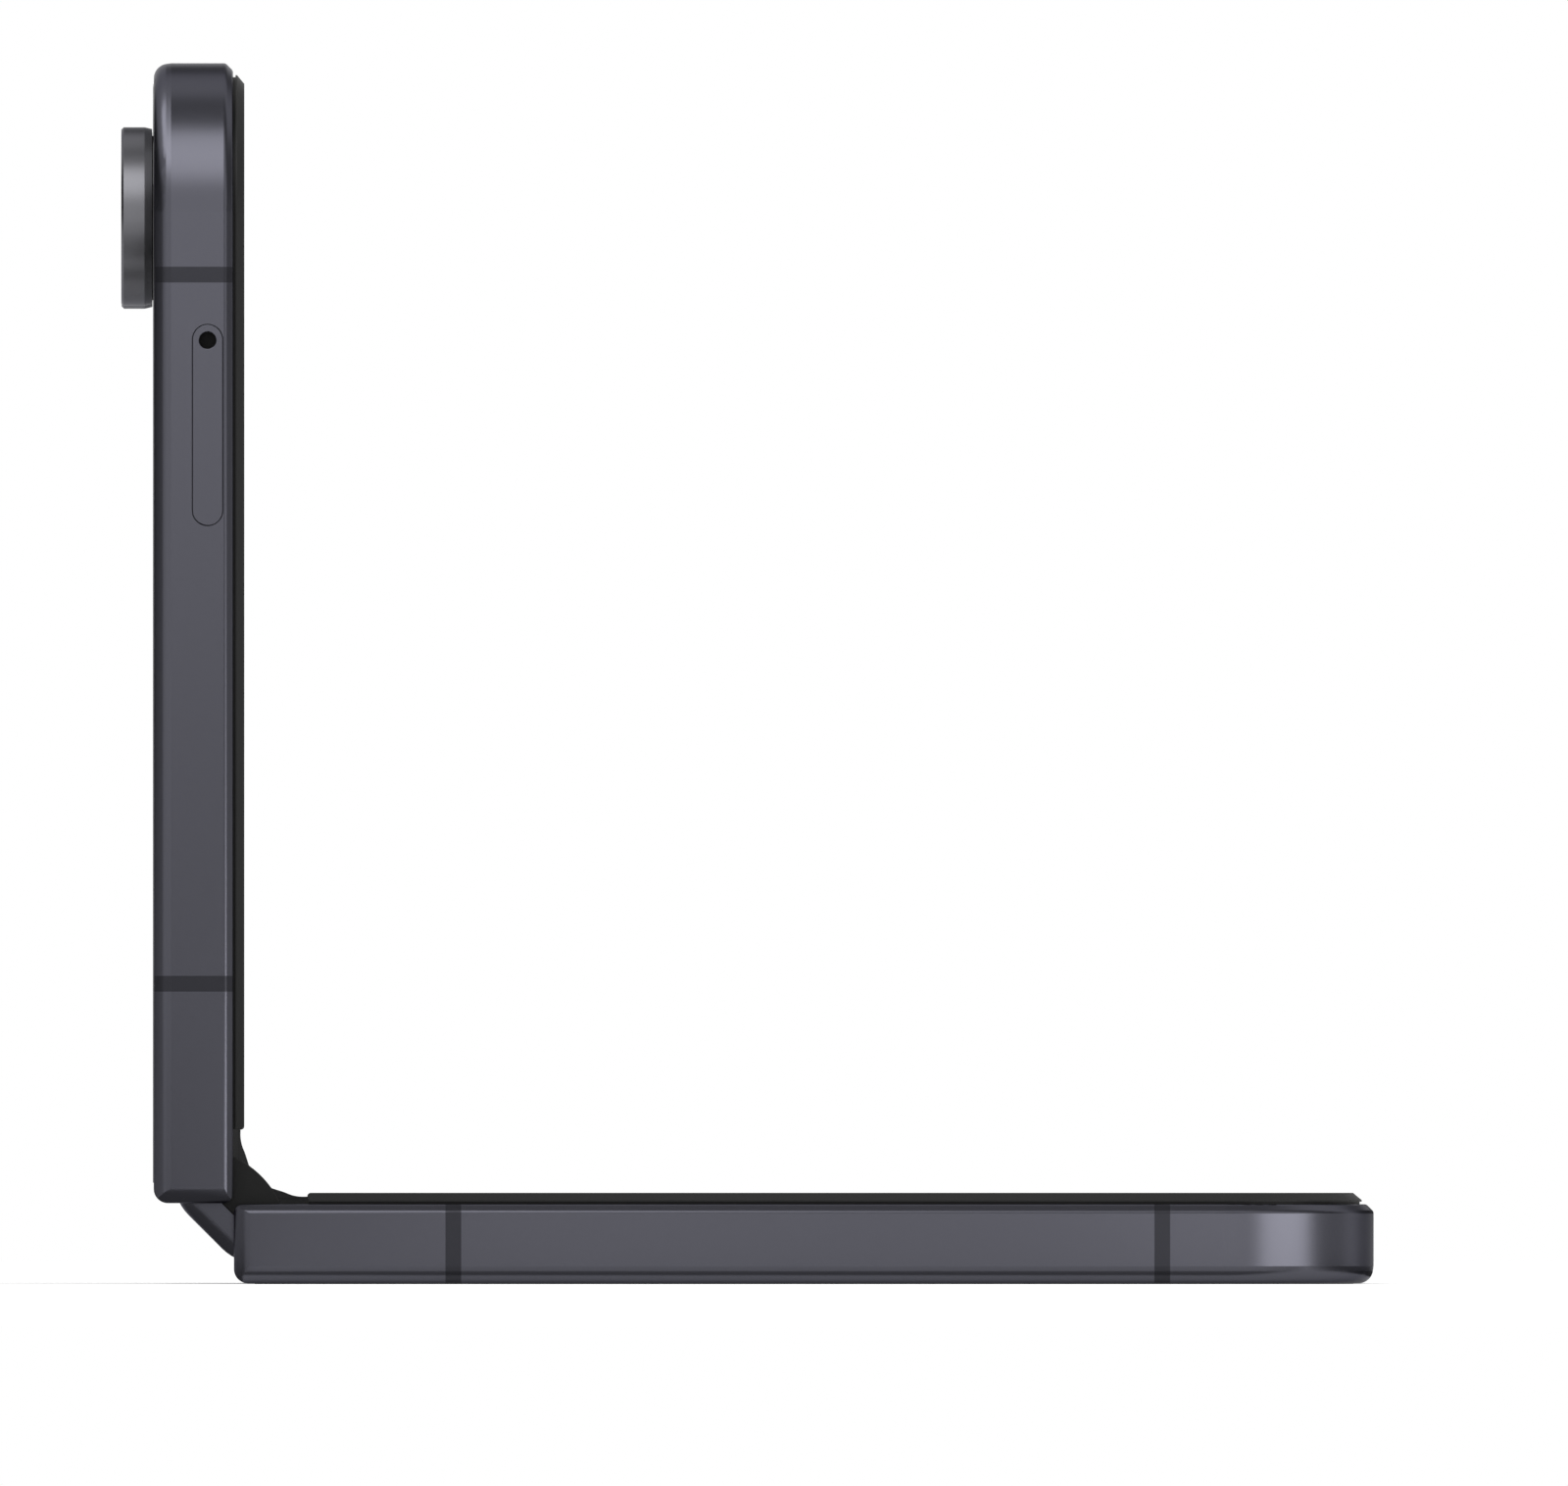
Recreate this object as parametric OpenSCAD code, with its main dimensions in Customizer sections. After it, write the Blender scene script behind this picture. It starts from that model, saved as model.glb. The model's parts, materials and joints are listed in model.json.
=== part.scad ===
// Foldable smartphone, opened to a right angle: the lower half lies, the upper half stands.
// A half is drawn lying on its back: x runs from its hinge end to its far end, y across it, and z from its
// back glass to its screen. The origin is the middle of the face that the phone rests on.

/* [Body] */
// Length of each half
half_len = 83.3; // [80:0.1:90]
// Width of the phone
body_w = 75.2; // [72:0.1:80]
// Back glass to the screen side of the metal rail
frame_t = 5.83; // [5.7:0.01:6.5]
// Corner radius at the far ends, seen from the front
far_corner_r = 11; // [8:0.5:14]
// Corner radius at the hinge end, seen from the front
hinge_corner_r = 1.2; // [0.5:0.1:2]
// Rounding of the rail's outer back edge
back_edge_r = 1.05; // [0.6:0.05:1.1]
// Depth of the narrow facet between the rail's face and its back rounding
facet_depth = 0.05; // [0.02:0.01:0.08]
// Angle of that facet
facet_angle = 8; // [4:1:12]
// Chamfer of the rail's outer screen edge
screen_chamfer = 0.54; // [0.3:0.02:0.7]
// Rounding at both ends of that chamfer
chamfer_r = 0.35; // [0.1:0.05:0.4]
// Rounding of the hinge-end edge on the screen side
roll_edge_r = 0.7; // [0.6:0.05:0.8]
// Thickness of the side rails
rail_t = 2.4; // [2:0.1:3]
// Thickness of the side rails beside the spine
hinge_rail_t = 1.7; // [1.5:0.1:2]
// Thickness of the plate between the screen and the inside
mid_plate_t = 0.8; // [0.6:0.05:1]
// Length of the solid wall that carries the hinge
hinge_wall_len = 4.5; // [4:0.1:8]

/* [Glass and screen] */
// Thickness of the back glass
glass_t = 0.55; // [0.4:0.05:0.7]
// How far the back glass stands proud of the metal
glass_proud = 0.05; // [0.04:0.01:0.1]
// Back glass edge to the outside of the rail
glass_inset = 1.25; // [1.2:0.05:2]
// Thickness of the rigid stretch of the screen with its steel plate
screen_t = 0.94; // [0.8:0.02:1]
// Height of the screen above the rail
screen_proud = 0.44; // [0.4:0.02:0.6]
// Height of the rim above the rail
rim_h = 0.83; // [0.7:0.01:1]
// Rim's outer edge to the outside of the rail
rim_inset = 0.87; // [0.8:0.01:1.2]
// Width of the rim
rim_w = 2.03; // [1.5:0.01:2.5]
// Length of the rim's outer bevel
rim_bevel_len = 0.64; // [0.4:0.01:0.8]
// Height of the rim's outer bevel
rim_bevel_h = 0.53; // [0.3:0.01:0.6]
// Rounding of the rim's ends
rim_end_r = 0.25; // [0.1:0.05:0.3]
// Depth of the shadow gap under the rim's outer edge
rim_undercut = 0.15; // [0.1:0.05:0.3]
// Height of that shadow gap
rim_foot_h = 0.18; // [0.1:0.02:0.2]
// Thickness of the screen where it starts to bend
fold_t = 0.1; // [0.08:0.01:0.15]
// Height of the middle of its bend above the hinge axes
fold_middle = 1.72; // [1.6:0.02:1.8]

/* [Hinge] */
// Distance between the two hinge axes
axis_gap = 3.44; // [3.4:0.01:3.6]
// Hinge axis to the hinge end of its half
axis_in = 1.67; // [1.6:0.01:1.69]
// Depth of the hinge axis below the screen side of the rail
axis_depth = 0.69; // [0.6:0.01:0.75]
// Radius of the spine cover about each axis
spine_r = 3.6; // [3.5:0.05:3.7]
// Clearance between the spine cover and the halves
spine_gap = 0.2; // [0.15:0.01:0.3]
// Wall of the spine cover
spine_wall = 0.7; // [0.5:0.05:0.8]
// Rounding of the spine cover's ends
spine_end_r = 1.05; // [0.6:0.05:1.1]
// Depth of the spine cover's edge below the axes
spine_edge = 1.28; // [1.2:0.01:1.4]
// Height of the end cap's crown above the axes
cap_top = 2.18; // [2:0.01:2.3]
// Radius of the end cap's crown
cap_crown_r = 7; // [5:0.5:9]
// Half width of the end cap
cap_half_w = 2.6; // [2.4:0.05:2.8]
// Thickness of the end cap
cap_t = 0.95; // [0.8:0.05:1]
// Clearance between the spine's ends and the rails
spine_end_gap = 0.15; // [0.1:0.01:0.25]
// Middle of each hinge module, from the middle of the phone
module_y = 22; // [16:0.5:25]
// Diameter of the hinge pins
pin_d = 0.8; // [0.7:0.05:0.9]
// Radial clearance of a turning bore on its pin
pin_gap = 0.03; // [0.02:0.01:0.05]
// Teeth on each gear
gear_teeth = 10; // [10:1:12]
// Pitch radius of each gear
gear_r = 0.8; // [0.75:0.01:0.82]
// Width of the gears
gear_w = 3; // [2:0.5:4]
// Diameter of the idler gears' pins
idler_pin_d = 0.5; // [0.4:0.05:0.6]
// Thickness of a hinge arm
arm_t = 0.95; // [0.8:0.05:1]
// Width of a hinge arm
arm_w = 6; // [4:0.5:7]
// Width of the foot that screws an arm to its half
foot_w = 13; // [12:0.5:14]
// Top of an arm above its axis
arm_top = 0.11; // [0.08:0.01:0.12]
// Diameter of the hinge screws
screw_d = 1; // [0.8:0.1:1.2]
// Diameter of their heads
screw_head_d = 1.7; // [1.5:0.1:1.9]
// Thickness of their heads
screw_head_t = 0.35; // [0.3:0.05:0.4]
// Width of the flat cable through the hinge
flex_w = 12; // [8:0.5:14]
// Thickness of that cable
flex_t = 0.12; // [0.1:0.01:0.14]
// Length of it over a half, from the hinge axis
flex_reach = 5.2; // [5:0.1:5.6]

/* [Buttons and tray] */
// Length of the SIM tray's face
tray_len = 14.65; // [14:0.05:16]
// Height of the SIM tray's face
tray_h = 2.2; // [2:0.05:2.4]
// Top of the SIM tray to the far end of the upper half
tray_from_end = 19.24; // [18:0.1:22]
// Clearance round the SIM tray
tray_gap = 0.05; // [0.03:0.01:0.1]
// Middle of the SIM tray above the back glass
tray_z = 3.98; // [3.9:0.02:4]
// Thickness of the tray's face
head_t = 1.3; // [1.1:0.1:1.4]
// Thickness of the tray's card carrier
carrier_t = 0.8; // [0.7:0.05:0.9]
// Depth of the tray's card carrier
carrier_len = 14.8; // [14.6:0.1:15.5]
// Diameter of the eject hole
eject_d = 1.25; // [1:0.01:1.4]
// Middle of the eject hole to the end of the tray's face
eject_in = 1.14; // [1:0.02:1.3]
// Travel of the ejector behind that hole
eject_travel = 1; // [0.8:0.1:1.2]
// Diameter of that ejector
ejector_d = 1.5; // [1.4:0.05:1.6]
// Length of the volume key
volume_len = 18; // [16:0.5:20]
// Length of the power key
power_len = 13; // [11:0.5:14]
// Height of the keys' faces
key_h = 2; // [1.8:0.1:2.2]
// How far the keys stand proud of the rail
key_proud = 0.45; // [0.4:0.05:0.6]
// Travel of the keys
key_travel = 0.3; // [0.2:0.05:0.3]
// Clearance round the keys
key_gap = 0.08; // [0.05:0.01:0.12]
// Height of the keys' middle above the back glass
key_z = 2.9; // [2.8:0.05:3]
// Flange that holds a key in its slot
flange = 0.6; // [0.5:0.05:0.7]
// Rail in front of that flange
key_face = 1.2; // [1.1:0.05:1.3]
// Middle of the volume key to the far end
volume_from_end = 26; // [24:0.5:28]
// Middle of the power key to the far end
power_from_end = 45; // [43:0.5:47]
// Width of the antenna bands
band_w = 1.15; // [0.8:0.05:1.5]
// Far antenna band to the far end
band_from_end = 15.6; // [14:0.1:17]
// Hinge antenna band to the hinge end
band_from_hinge = 16; // [15:0.1:18]

/* [Cameras] */
// Outer diameter of a camera ring
ring_d = 13.06; // [12:0.02:14]
// Diameter at the foot of the ring
ring_foot_d = 12.8; // [11.8:0.05:13]
// Height of the taper at that foot
ring_taper_h = 0.55; // [0.4:0.01:0.6]
// Bevel of the ring's outer edge
ring_bevel = 0.17; // [0.1:0.01:0.25]
// Height of a camera ring above the back glass
ring_h = 2.33; // [1.8:0.01:2.6]
// Diameter of the dark seat under the ring
seat_d = 11.8; // [11:0.05:12]
// Height of that seat
seat_h = 0.08; // [0.06:0.01:0.1]
// Diameter of a camera's barrel
barrel_d = 8.6; // [8:0.1:8.8]
// Width of a camera module's body
module_w = 10.2; // [9.8:0.1:10.4]
// Diameter of the lens glass
lens_d = 9.5; // [9:0.1:10]
// Middle of the cameras to the far end
camera_from_end = 11.2; // [11:0.1:13]
// Farther camera from the SIM tray's side, to the middle of the phone
camera_in = 9.6; // [9:0.1:10]
// Distance between the cameras
camera_pitch = 16.4; // [14:0.1:17]
// Distance from the farther camera to the flash
flash_pitch = 10.5; // [9.5:0.1:11]
// Diameter of the flash
flash_d = 3.4; // [3:0.1:4]
// Depth of the lens glass below the top of its ring
lens_depth = 0.3; // [0.2:0.05:0.4]
// Thickness of the lens glass
lens_t = 0.6; // [0.5:0.05:0.7]
// Diameter of the front camera's window
front_camera_d = 3.4; // [3:0.1:3.6]
// Front camera to the edge of the screen
front_camera_in = 3.2; // [3:0.1:4]

/* [Inside] */
// Clearance between the frame and what lies in it
inside_gap = 0.3; // [0.2:0.05:0.5]
// Length of the bay past the lower battery
lower_bay_len = 16.3; // [15:0.1:20]
// Length of the main board between the upper battery and the SIM reader
board_lead = 5.5; // [4:0.5:8]
// Clearance round the batteries
battery_gap = 1; // [0.8:0.1:1.5]
// Height of the batteries above the back glass's outer face
battery_floor = 0.95; // [0.95:0.05:1.2]
// Outer diameter of the charging coil
coil_d = 44; // [38:1:46]
// Inner diameter of the charging coil
coil_bore_d = 24; // [18:1:26]
// Thickness of the charging coil
coil_t = 0.4; // [0.3:0.02:0.4]
// Thickness of the circuit boards
board_t = 0.7; // [0.5:0.05:0.8]
// Height of the circuit boards above the back glass's outer face
board_z = 2.1; // [2:0.05:2.2]
// Width of the shield on the main board
shield_w = 22; // [18:0.5:23]
// Length of the earpiece
earpiece_len = 6.5; // [5:0.5:6.5]
// Width of the earpiece
earpiece_w = 14; // [10:0.5:15]
// Earpiece and shield to the middle of the phone
earpiece_y = 8; // [7.5:0.5:9]
// Loudspeaker to the middle of the phone
speaker_y = 9.5; // [9:0.5:11]
// Vibration motor to the middle of the phone
motor_y = 19; // [17:0.5:22]
// Diameter of the loudspeaker's holes
speaker_hole_d = 1.1; // [0.8:0.1:1.3]
// Distance between those holes
speaker_hole_pitch = 2; // [1.8:0.1:2.4]
// Diameter of the microphone holes
mic_hole_d = 0.9; // [0.6:0.1:1]
// Width of the charging receptacle's shell
usb_w = 8.94; // [8.9:0.01:9]
// Height of the charging receptacle's shell
usb_h = 3.1; // [3:0.05:3.1]
// Length of that shell
usb_len = 7.6; // [7:0.1:8]
// Wall of that shell
usb_wall = 0.3; // [0.2:0.05:0.3]

/* [Hidden] */
$fn = 48;

hinge_x = -half_len / 2;
half_w = body_w / 2;
metal_back = glass_proud;
glass_floor = glass_t;
screen_floor = frame_t + screen_proud - screen_t;
mid_floor = screen_floor - mid_plate_t;
cavity_floor = glass_floor;
axis_z = frame_t - axis_depth;
hollow_r = spine_r + spine_gap;
hollow_end = axis_in + hollow_r;
cavity_start = hollow_end + hinge_wall_len;
rim_start = hollow_end - 0.04;
screen_inset = rim_inset + rim_w + 0.05;
screen_start = axis_in + 1.28;
corner_w = half_w - far_corner_r;
corner_x = half_len - far_corner_r;
spine_len = body_w - 2 * hinge_rail_t - 2 * spine_end_gap;
half_gap = axis_gap / 2;
lap = 1;
screen_top = frame_t + screen_proud;
cavity_w = body_w - 2 * rail_t;
inside_w = cavity_w - 2 * inside_gap;
inside_top = mid_floor - 0.1;
inside_start = cavity_start + inside_gap;
inside_end = half_len - rail_t - inside_gap;
tray_x = half_len - tray_from_end - tray_len / 2;
eject_x = tray_x + tray_len / 2 - eject_in;
volume_x = half_len - volume_from_end;
power_x = half_len - power_from_end;
camera_x = half_len - camera_from_end;
camera_y = [-camera_in - camera_pitch, -camera_in];
flash_y = flash_pitch - camera_in;
usb_z = (metal_back + frame_t) / 2;

tooth_step = 360 / gear_teeth;
gear_tip = gear_r + 0.13;
gear_root = gear_r - 0.19;
idler_v = gear_r;
idler_u = -sqrt(4 * gear_r * gear_r - (half_gap - idler_v) * (half_gap - idler_v));
idler_dir = atan2(idler_u, idler_v - half_gap);

// Angle of a tooth on the driven gear, from a tooth on its driver and the direction from driver to driven
function meshed(tooth, dir) = 2 * dir + 180 - tooth + tooth_step / 2;
first_tooth = idler_dir;
second_tooth = meshed(first_tooth, idler_dir);
third_tooth = meshed(second_tooth, 180);
fourth_tooth = meshed(third_tooth, 180 - (180 + idler_dir));

// The lower half lies with its hinge end at hinge_x
module lower() {
    translate([hinge_x, 0, 0]) children();
}

// The upper half stands: its x points up and its z towards the lower half
lid_back_x = hinge_x + axis_in - axis_gap / sqrt(2) - axis_z;
lid_end_z = axis_z + axis_gap / sqrt(2) - axis_in;
module upper() {
    translate([lid_back_x, 0, lid_end_z]) mirror([1, 0, -1]) children();
}

// The spine stands halfway between them: its x runs from the upper axis to the lower one
spine_x = hinge_x + axis_in - axis_gap / sqrt(8);
spine_z = axis_z + axis_gap / sqrt(8);
module spine() {
    translate([spine_x, 0, spine_z]) rotate([0, 45, 0]) children();
}

// A profile drawn in x and z, extruded along y
module across(len, y = 0) {
    translate([0, y, 0]) rotate([90, 0, 0]) linear_extrude(len, center = true) children();
}

// A profile drawn in y and z, extruded along x
module along(from, to) {
    translate([from, 0, 0]) rotate([90, 0, 90]) linear_extrude(to - from) children();
}

// A flat slab between two heights
module layer(from, to) {
    translate([0, 0, from]) linear_extrude(to - from) children();
}

// Plan of a half, drawn in by an inset
module plan(inset, start) {
    r = far_corner_r - inset;
    translate([start, inset - half_w]) square([corner_x - start, body_w - 2 * inset]);
    translate([start, -corner_w]) square([half_len - inset - start, 2 * corner_w]);
    for (side = [-1, 1]) translate([corner_x, side * corner_w]) circle(r);
}

// Carries a profile round the three outer sides: its x is the distance from the corner's centre line
module round_three_sides(start) {
    for (side = [-1, 1]) {
        mirror([0, side < 0 ? 1 : 0, 0]) {
            translate([0, corner_w, 0]) along(start, corner_x) children();
            translate([corner_x, corner_w, 0]) rotate_extrude(angle = 90) children();
        }
    }
    translate([corner_x, 0, 0]) across(2 * corner_w) children();
}

// A square corner less the round that replaces it
module corner_waste(r) {
    difference() {
        translate([0, -lap]) square([r + lap, r + lap]);
        translate([0, r]) circle(r);
        translate([-lap, r]) square([lap, r]);
    }
}

// The same where a narrow facet leads from the face into the round
module faceted_waste(r, depth, angle) {
    centre = [-depth - r * cos(angle), r];
    touch = [-depth, r - r * sin(angle)];
    face_y = touch[1] + depth / tan(angle);
    difference() {
        polygon([[lap, -lap], [centre[0], -lap], centre, touch, [0, face_y], [lap, face_y]]);
        translate(centre) circle(r);
    }
}

// A square corner less a chamfer that is rounded at both its ends
module chamfer_waste(c, r) {
    reach = c + r * tan(22.5);
    foot = r * tan(22.5) / sqrt(2);
    difference() {
        polygon([
            [lap, -lap], [-reach, -lap], [-reach, r], [foot - c, foot],
            [-foot, c - foot], [-r, reach], [lap, reach]
        ]);
        translate([-reach, r]) circle(r);
        translate([-r, reach]) circle(r);
    }
}

module rail_profile() {
    difference() {
        translate([0, metal_back]) square([far_corner_r, frame_t - metal_back]);
        translate([far_corner_r, metal_back]) faceted_waste(back_edge_r, facet_depth, facet_angle);
        translate([far_corner_r, frame_t]) mirror([0, 1]) chamfer_waste(screen_chamfer, chamfer_r);
    }
}

module half_block() {
    round_three_sides(0) rail_profile();
    translate([0, -corner_w, metal_back]) cube([corner_x, 2 * corner_w, frame_t - metal_back]);
}

// What the rounded hinge end takes off the block
module hinge_end_waste() {
    translate([back_edge_r, 0, metal_back]) mirror([1, 0, 0])
        across(body_w + 2 * lap) corner_waste(back_edge_r);
    translate([roll_edge_r, 0, frame_t]) mirror([1, 0, 0]) mirror([0, 0, 1])
        across(body_w + 2 * lap) corner_waste(roll_edge_r);
    for (side = [0, 1]) mirror([0, side, 0]) {
        difference() {
            translate([-lap, half_w - hinge_corner_r, -lap])
                cube([hinge_corner_r + lap, hinge_corner_r + lap, frame_t + 2 * lap]);
            translate([hinge_corner_r, half_w - hinge_corner_r, -2 * lap])
                cylinder(r = hinge_corner_r, h = frame_t + 4 * lap);
        }
    }
}

// The hollow that the spine turns in
module spine_hollow() {
    across(body_w - 2 * hinge_rail_t) {
        translate([axis_in, axis_z]) circle(hollow_r, $fn = 96);
        translate([-lap, axis_z - hollow_r]) square([axis_in + lap, hollow_r + 2 * lap]);
        translate([-lap, axis_z]) square([hollow_end + lap, 2 * lap]);
    }
}

module band_places() {
    depth = rail_t * 2 / 3;
    for (x = [band_from_hinge, half_len - band_from_end]) {
        for (side = [-1, 1]) {
            translate([x - band_w / 2, side > 0 ? half_w - depth : -half_w - lap, -lap])
                cube([band_w, depth + lap, frame_t + 2 * lap]);
        }
    }
}

// Screws through the hinge arms: their places in a half
screw_step = foot_w / 2 - 2.1;
screw_x = hollow_end + hinge_wall_len / 2 - 0.25;
screw_floor = glass_floor + 1.5;
screw_y = [for (side = [-1, 1]) for (step = [-1, 1]) side * module_y + step * screw_step];

module arm_pocket() {
    for (side = [-1, 1]) {
        translate([hollow_end - lap, side * module_y - foot_w / 2 - 0.1, axis_z - arm_t + arm_top])
            cube([lap + hinge_wall_len - 0.5, foot_w + 0.2, 2 * lap]);
    }
    for (y = screw_y) translate([screw_x, y, screw_floor]) cylinder(d = screw_d, h = axis_z - screw_floor);
}

// Groove for the flat cable over the hinge wall
flex_top = 0.05;
module flex_groove() {
    translate([hollow_end - lap, -flex_w / 2 - 0.2, axis_z + flex_top - flex_t - 0.05])
        cube([flex_reach - hollow_r + lap + 0.2, flex_w + 0.4, 2 * lap]);
}

// The metal frame both halves share
module frame_body() {
    difference() {
        half_block();
        hinge_end_waste();
        layer(-lap, glass_floor) plan(glass_inset, glass_inset);
        layer(glass_floor - lap, mid_floor) plan(rail_t, cavity_start);
        layer(screen_floor, frame_t + lap) plan(screen_inset - 0.05, hollow_end - lap);
        spine_hollow();
        band_places();
        arm_pocket();
        flex_groove();
    }
}

module antenna_bands() {
    difference() {
        intersection() {
            half_block();
            band_places();
        }
        layer(-lap, glass_floor) plan(glass_inset, glass_inset);
    }
}

module back_glass() {
    bevel = 0.25;
    layer(0, glass_t) plan(glass_inset + bevel, glass_inset + bevel);
    layer(bevel / 2, glass_t) plan(glass_inset + 0.05, glass_inset + 0.05);
}

module rim() {
    outer = far_corner_r - rim_inset;
    difference() {
        round_three_sides(rim_start) polygon([
            [outer - rim_w, frame_t],
            [outer - rim_undercut, frame_t],
            [outer - rim_undercut, frame_t + rim_foot_h],
            [outer, frame_t + rim_foot_h],
            [outer, frame_t + rim_h - rim_bevel_h],
            [outer - rim_bevel_len, frame_t + rim_h],
            [outer - rim_w, frame_t + rim_h]
        ]);
        translate([rim_start + rim_end_r, 0, frame_t + rim_h]) mirror([1, 0, 0]) mirror([0, 0, 1])
            across(body_w) corner_waste(rim_end_r);
    }
}

module screen(start = screen_start) {
    layer(screen_floor, screen_top) plan(screen_inset, start);
}

// Gear drawn about the axis with one tooth at the given angle
module gear_outline(tooth) {
    polygon([
        for (i = [0 : gear_teeth - 1])
            for (p = [
                [gear_root, -0.30], [gear_r, -0.20], [gear_tip, -0.09],
                [gear_tip, 0.09], [gear_r, 0.20], [gear_root, 0.30]
            ])
                let (a = tooth + (i + p[1]) * tooth_step) [p[0] * cos(a), p[0] * sin(a)]
    ]);
}

// Places along a hinge module, from its middle
gear_y = -4.5;
arm_y = 1;
wall_t = 0.8;
wall_y = [-7, -2.5, 4.6, 8.5];
spring_y = 6.55;

knuckle_r = gear_root;
module hinge_arm(tooth) {
    for (side = [-1, 1]) translate([0, side * module_y, 0]) difference() {
        union() {
            across(gear_w, gear_y) gear_outline(tooth);
            across(arm_y - arm_w / 2 - gear_y, (arm_y - arm_w / 2 + gear_y) / 2) circle(knuckle_r);
            across(arm_w, arm_y) circle(knuckle_r + 0.2);
            translate([0, arm_y - arm_w / 2, arm_top - arm_t]) cube([hollow_r + 0.4, arm_w, arm_t]);
            translate([hollow_r + 0.2, -foot_w / 2, arm_top - arm_t]) cube([hinge_wall_len - 1, foot_w, arm_t]);
        }
        across(30) circle(d = pin_d + 2 * pin_gap, $fn = 32);
        for (step = [-1, 1]) translate([screw_x - axis_in, step * screw_step, 0]) {
            translate([0, 0, -lap]) cylinder(d = screw_d + 0.1, h = 2 * lap);
            translate([0, 0, arm_top - screw_head_t]) cylinder(d = screw_head_d + 0.1, h = lap);
        }
    }
}

module hinge_screws() {
    for (y = screw_y) translate([screw_x, y, 0]) {
        translate([0, 0, screw_floor]) cylinder(d = screw_d, h = axis_z + arm_top - screw_floor);
        translate([0, 0, axis_z + arm_top - screw_head_t]) cylinder(d = screw_head_d, h = screw_head_t);
    }
}

// A flat battery from the hinge wall to the bay that starts at bay_x
module battery(bay_x) {
    translate([inside_start, battery_gap - inside_w / 2, battery_floor])
        cube([bay_x - battery_gap - inside_start, inside_w - 2 * battery_gap, inside_top - battery_floor]);
}

// What of a piece lies inside the frame's cavity with clearance all round
module fitted(from, to) {
    intersection() {
        layer(from, to) plan(rail_t + inside_gap, cavity_start + inside_gap);
        children();
    }
}

// Lower half

module lower_frame() color("slategray") lower() difference() {
    frame_body();
    usb_slot(0.05);
    speaker_holes();
}

module lower_antenna_bands() color("dimgray") lower() antenna_bands();

module lower_back_glass() color([0.13, 0.13, 0.15]) lower() back_glass();

module lower_rim() color([0.1, 0.1, 0.1]) lower() rim();

module lower_screen() color([0.02, 0.02, 0.03]) lower() screen();

module lower_battery() {
    color([0.2, 0.2, 0.22]) lower() battery(inside_end - lower_bay_len);
}

// A flat coil of charging wire, drawn as its closed ring on the battery's face
module charging_coil() {
    color("peru") lower() translate([half_len / 2, 0, glass_floor]) difference() {
        cylinder(d = coil_d, h = coil_t);
        translate([0, 0, -lap]) cylinder(d = coil_bore_d, h = 3 * lap);
    }
}

module usb_outline(width, height) {
    translate([-(width - height) / 2, -height / 2]) square([width - height, height]);
    for (side = [-1, 1]) translate([side * (width - height) / 2, 0]) circle(height / 2);
}

module usb_slot(gap) {
    translate([0, 0, usb_z]) along(half_len - usb_len - 1, half_len + lap)
        usb_outline(usb_w + 2 * gap, usb_h + 2 * gap);
}

module usb_receptacle() color("silver") lower() translate([0, 0, usb_z]) {
    floor_t = 1.2;
    tongue_w = 6.6;
    tongue_t = 0.7;
    difference() {
        along(half_len - usb_len, half_len - usb_wall) usb_outline(usb_w, usb_h);
        along(half_len - usb_len + floor_t, half_len + lap)
            usb_outline(usb_w - 2 * usb_wall, usb_h - 2 * usb_wall);
    }
    translate([half_len - usb_len + floor_t / 2, -tongue_w / 2, -tongue_t / 2])
        cube([usb_len - 2 * floor_t, tongue_w, tongue_t]);
}

// A hole through the rail of a far end
module end_hole(y, z, d) {
    translate([half_len - rail_t - lap, y, z]) rotate([0, 90, 0])
        cylinder(d = d, h = rail_t + 2 * lap, $fn = 24);
}

speaker_hole_y = speaker_y + 4.5;
mic_y = -10;
module speaker_holes() {
    for (i = [0 : 5]) end_hole(speaker_hole_y + i * speaker_hole_pitch, usb_z, speaker_hole_d);
    end_hole(mic_y, usb_z, mic_hole_d);
}

lower_board_x = inside_end - lower_bay_len;
module lower_board() {
    edge = 0.5;
    color("darkgreen") lower() difference() {
        translate([lower_board_x, edge - motor_y, board_z])
            cube([lower_bay_len, motor_y + speaker_y - 2 * edge, board_t]);
        translate([half_len - usb_len - 0.1, -usb_w / 2 - 0.1, 0]) cube([usb_len, usb_w + 0.2, frame_t]);
    }
}

module microphone() {
    size = [3, 3, 0.9];
    color("gold") lower() translate([inside_end - size[0], mic_y - size[1] / 2, board_z + board_t]) cube(size);
}

// Sound chamber in the corner, with a slot in front of its holes
module loudspeaker() {
    slot_h = 1.8;
    color([0.15, 0.15, 0.15]) lower() difference() {
        fitted(cavity_floor + 0.1, inside_top)
            translate([lower_board_x, speaker_y, 0]) cube([half_len, half_w, frame_t]);
        translate([inside_end - lap, speaker_hole_y - lap, usb_z - slot_h / 2])
            cube([half_len, 5 * speaker_hole_pitch + 2 * lap, slot_h]);
    }
}

module vibration_motor() {
    color("gainsboro") lower() fitted(cavity_floor + 0.1, inside_top)
        translate([lower_board_x, -half_w, 0]) cube([half_len, half_w - motor_y, frame_t]);
}

module lower_hinge_arms() {
    color("lightsteelblue") lower() translate([axis_in, 0, axis_z]) hinge_arm(first_tooth - 45);
}

module lower_hinge_screws() color("silver") lower() hinge_screws();

// Spine

// From an axis outwards and along the spine, with rounded ends
module spine_profile() {
    difference() {
        translate([0, -spine_len / 2]) square([spine_r, spine_len]);
        for (side = [0, 1]) mirror([0, side])
            translate([spine_r - spine_end_r, -spine_len / 2]) corner_waste(spine_end_r);
    }
}

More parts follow.
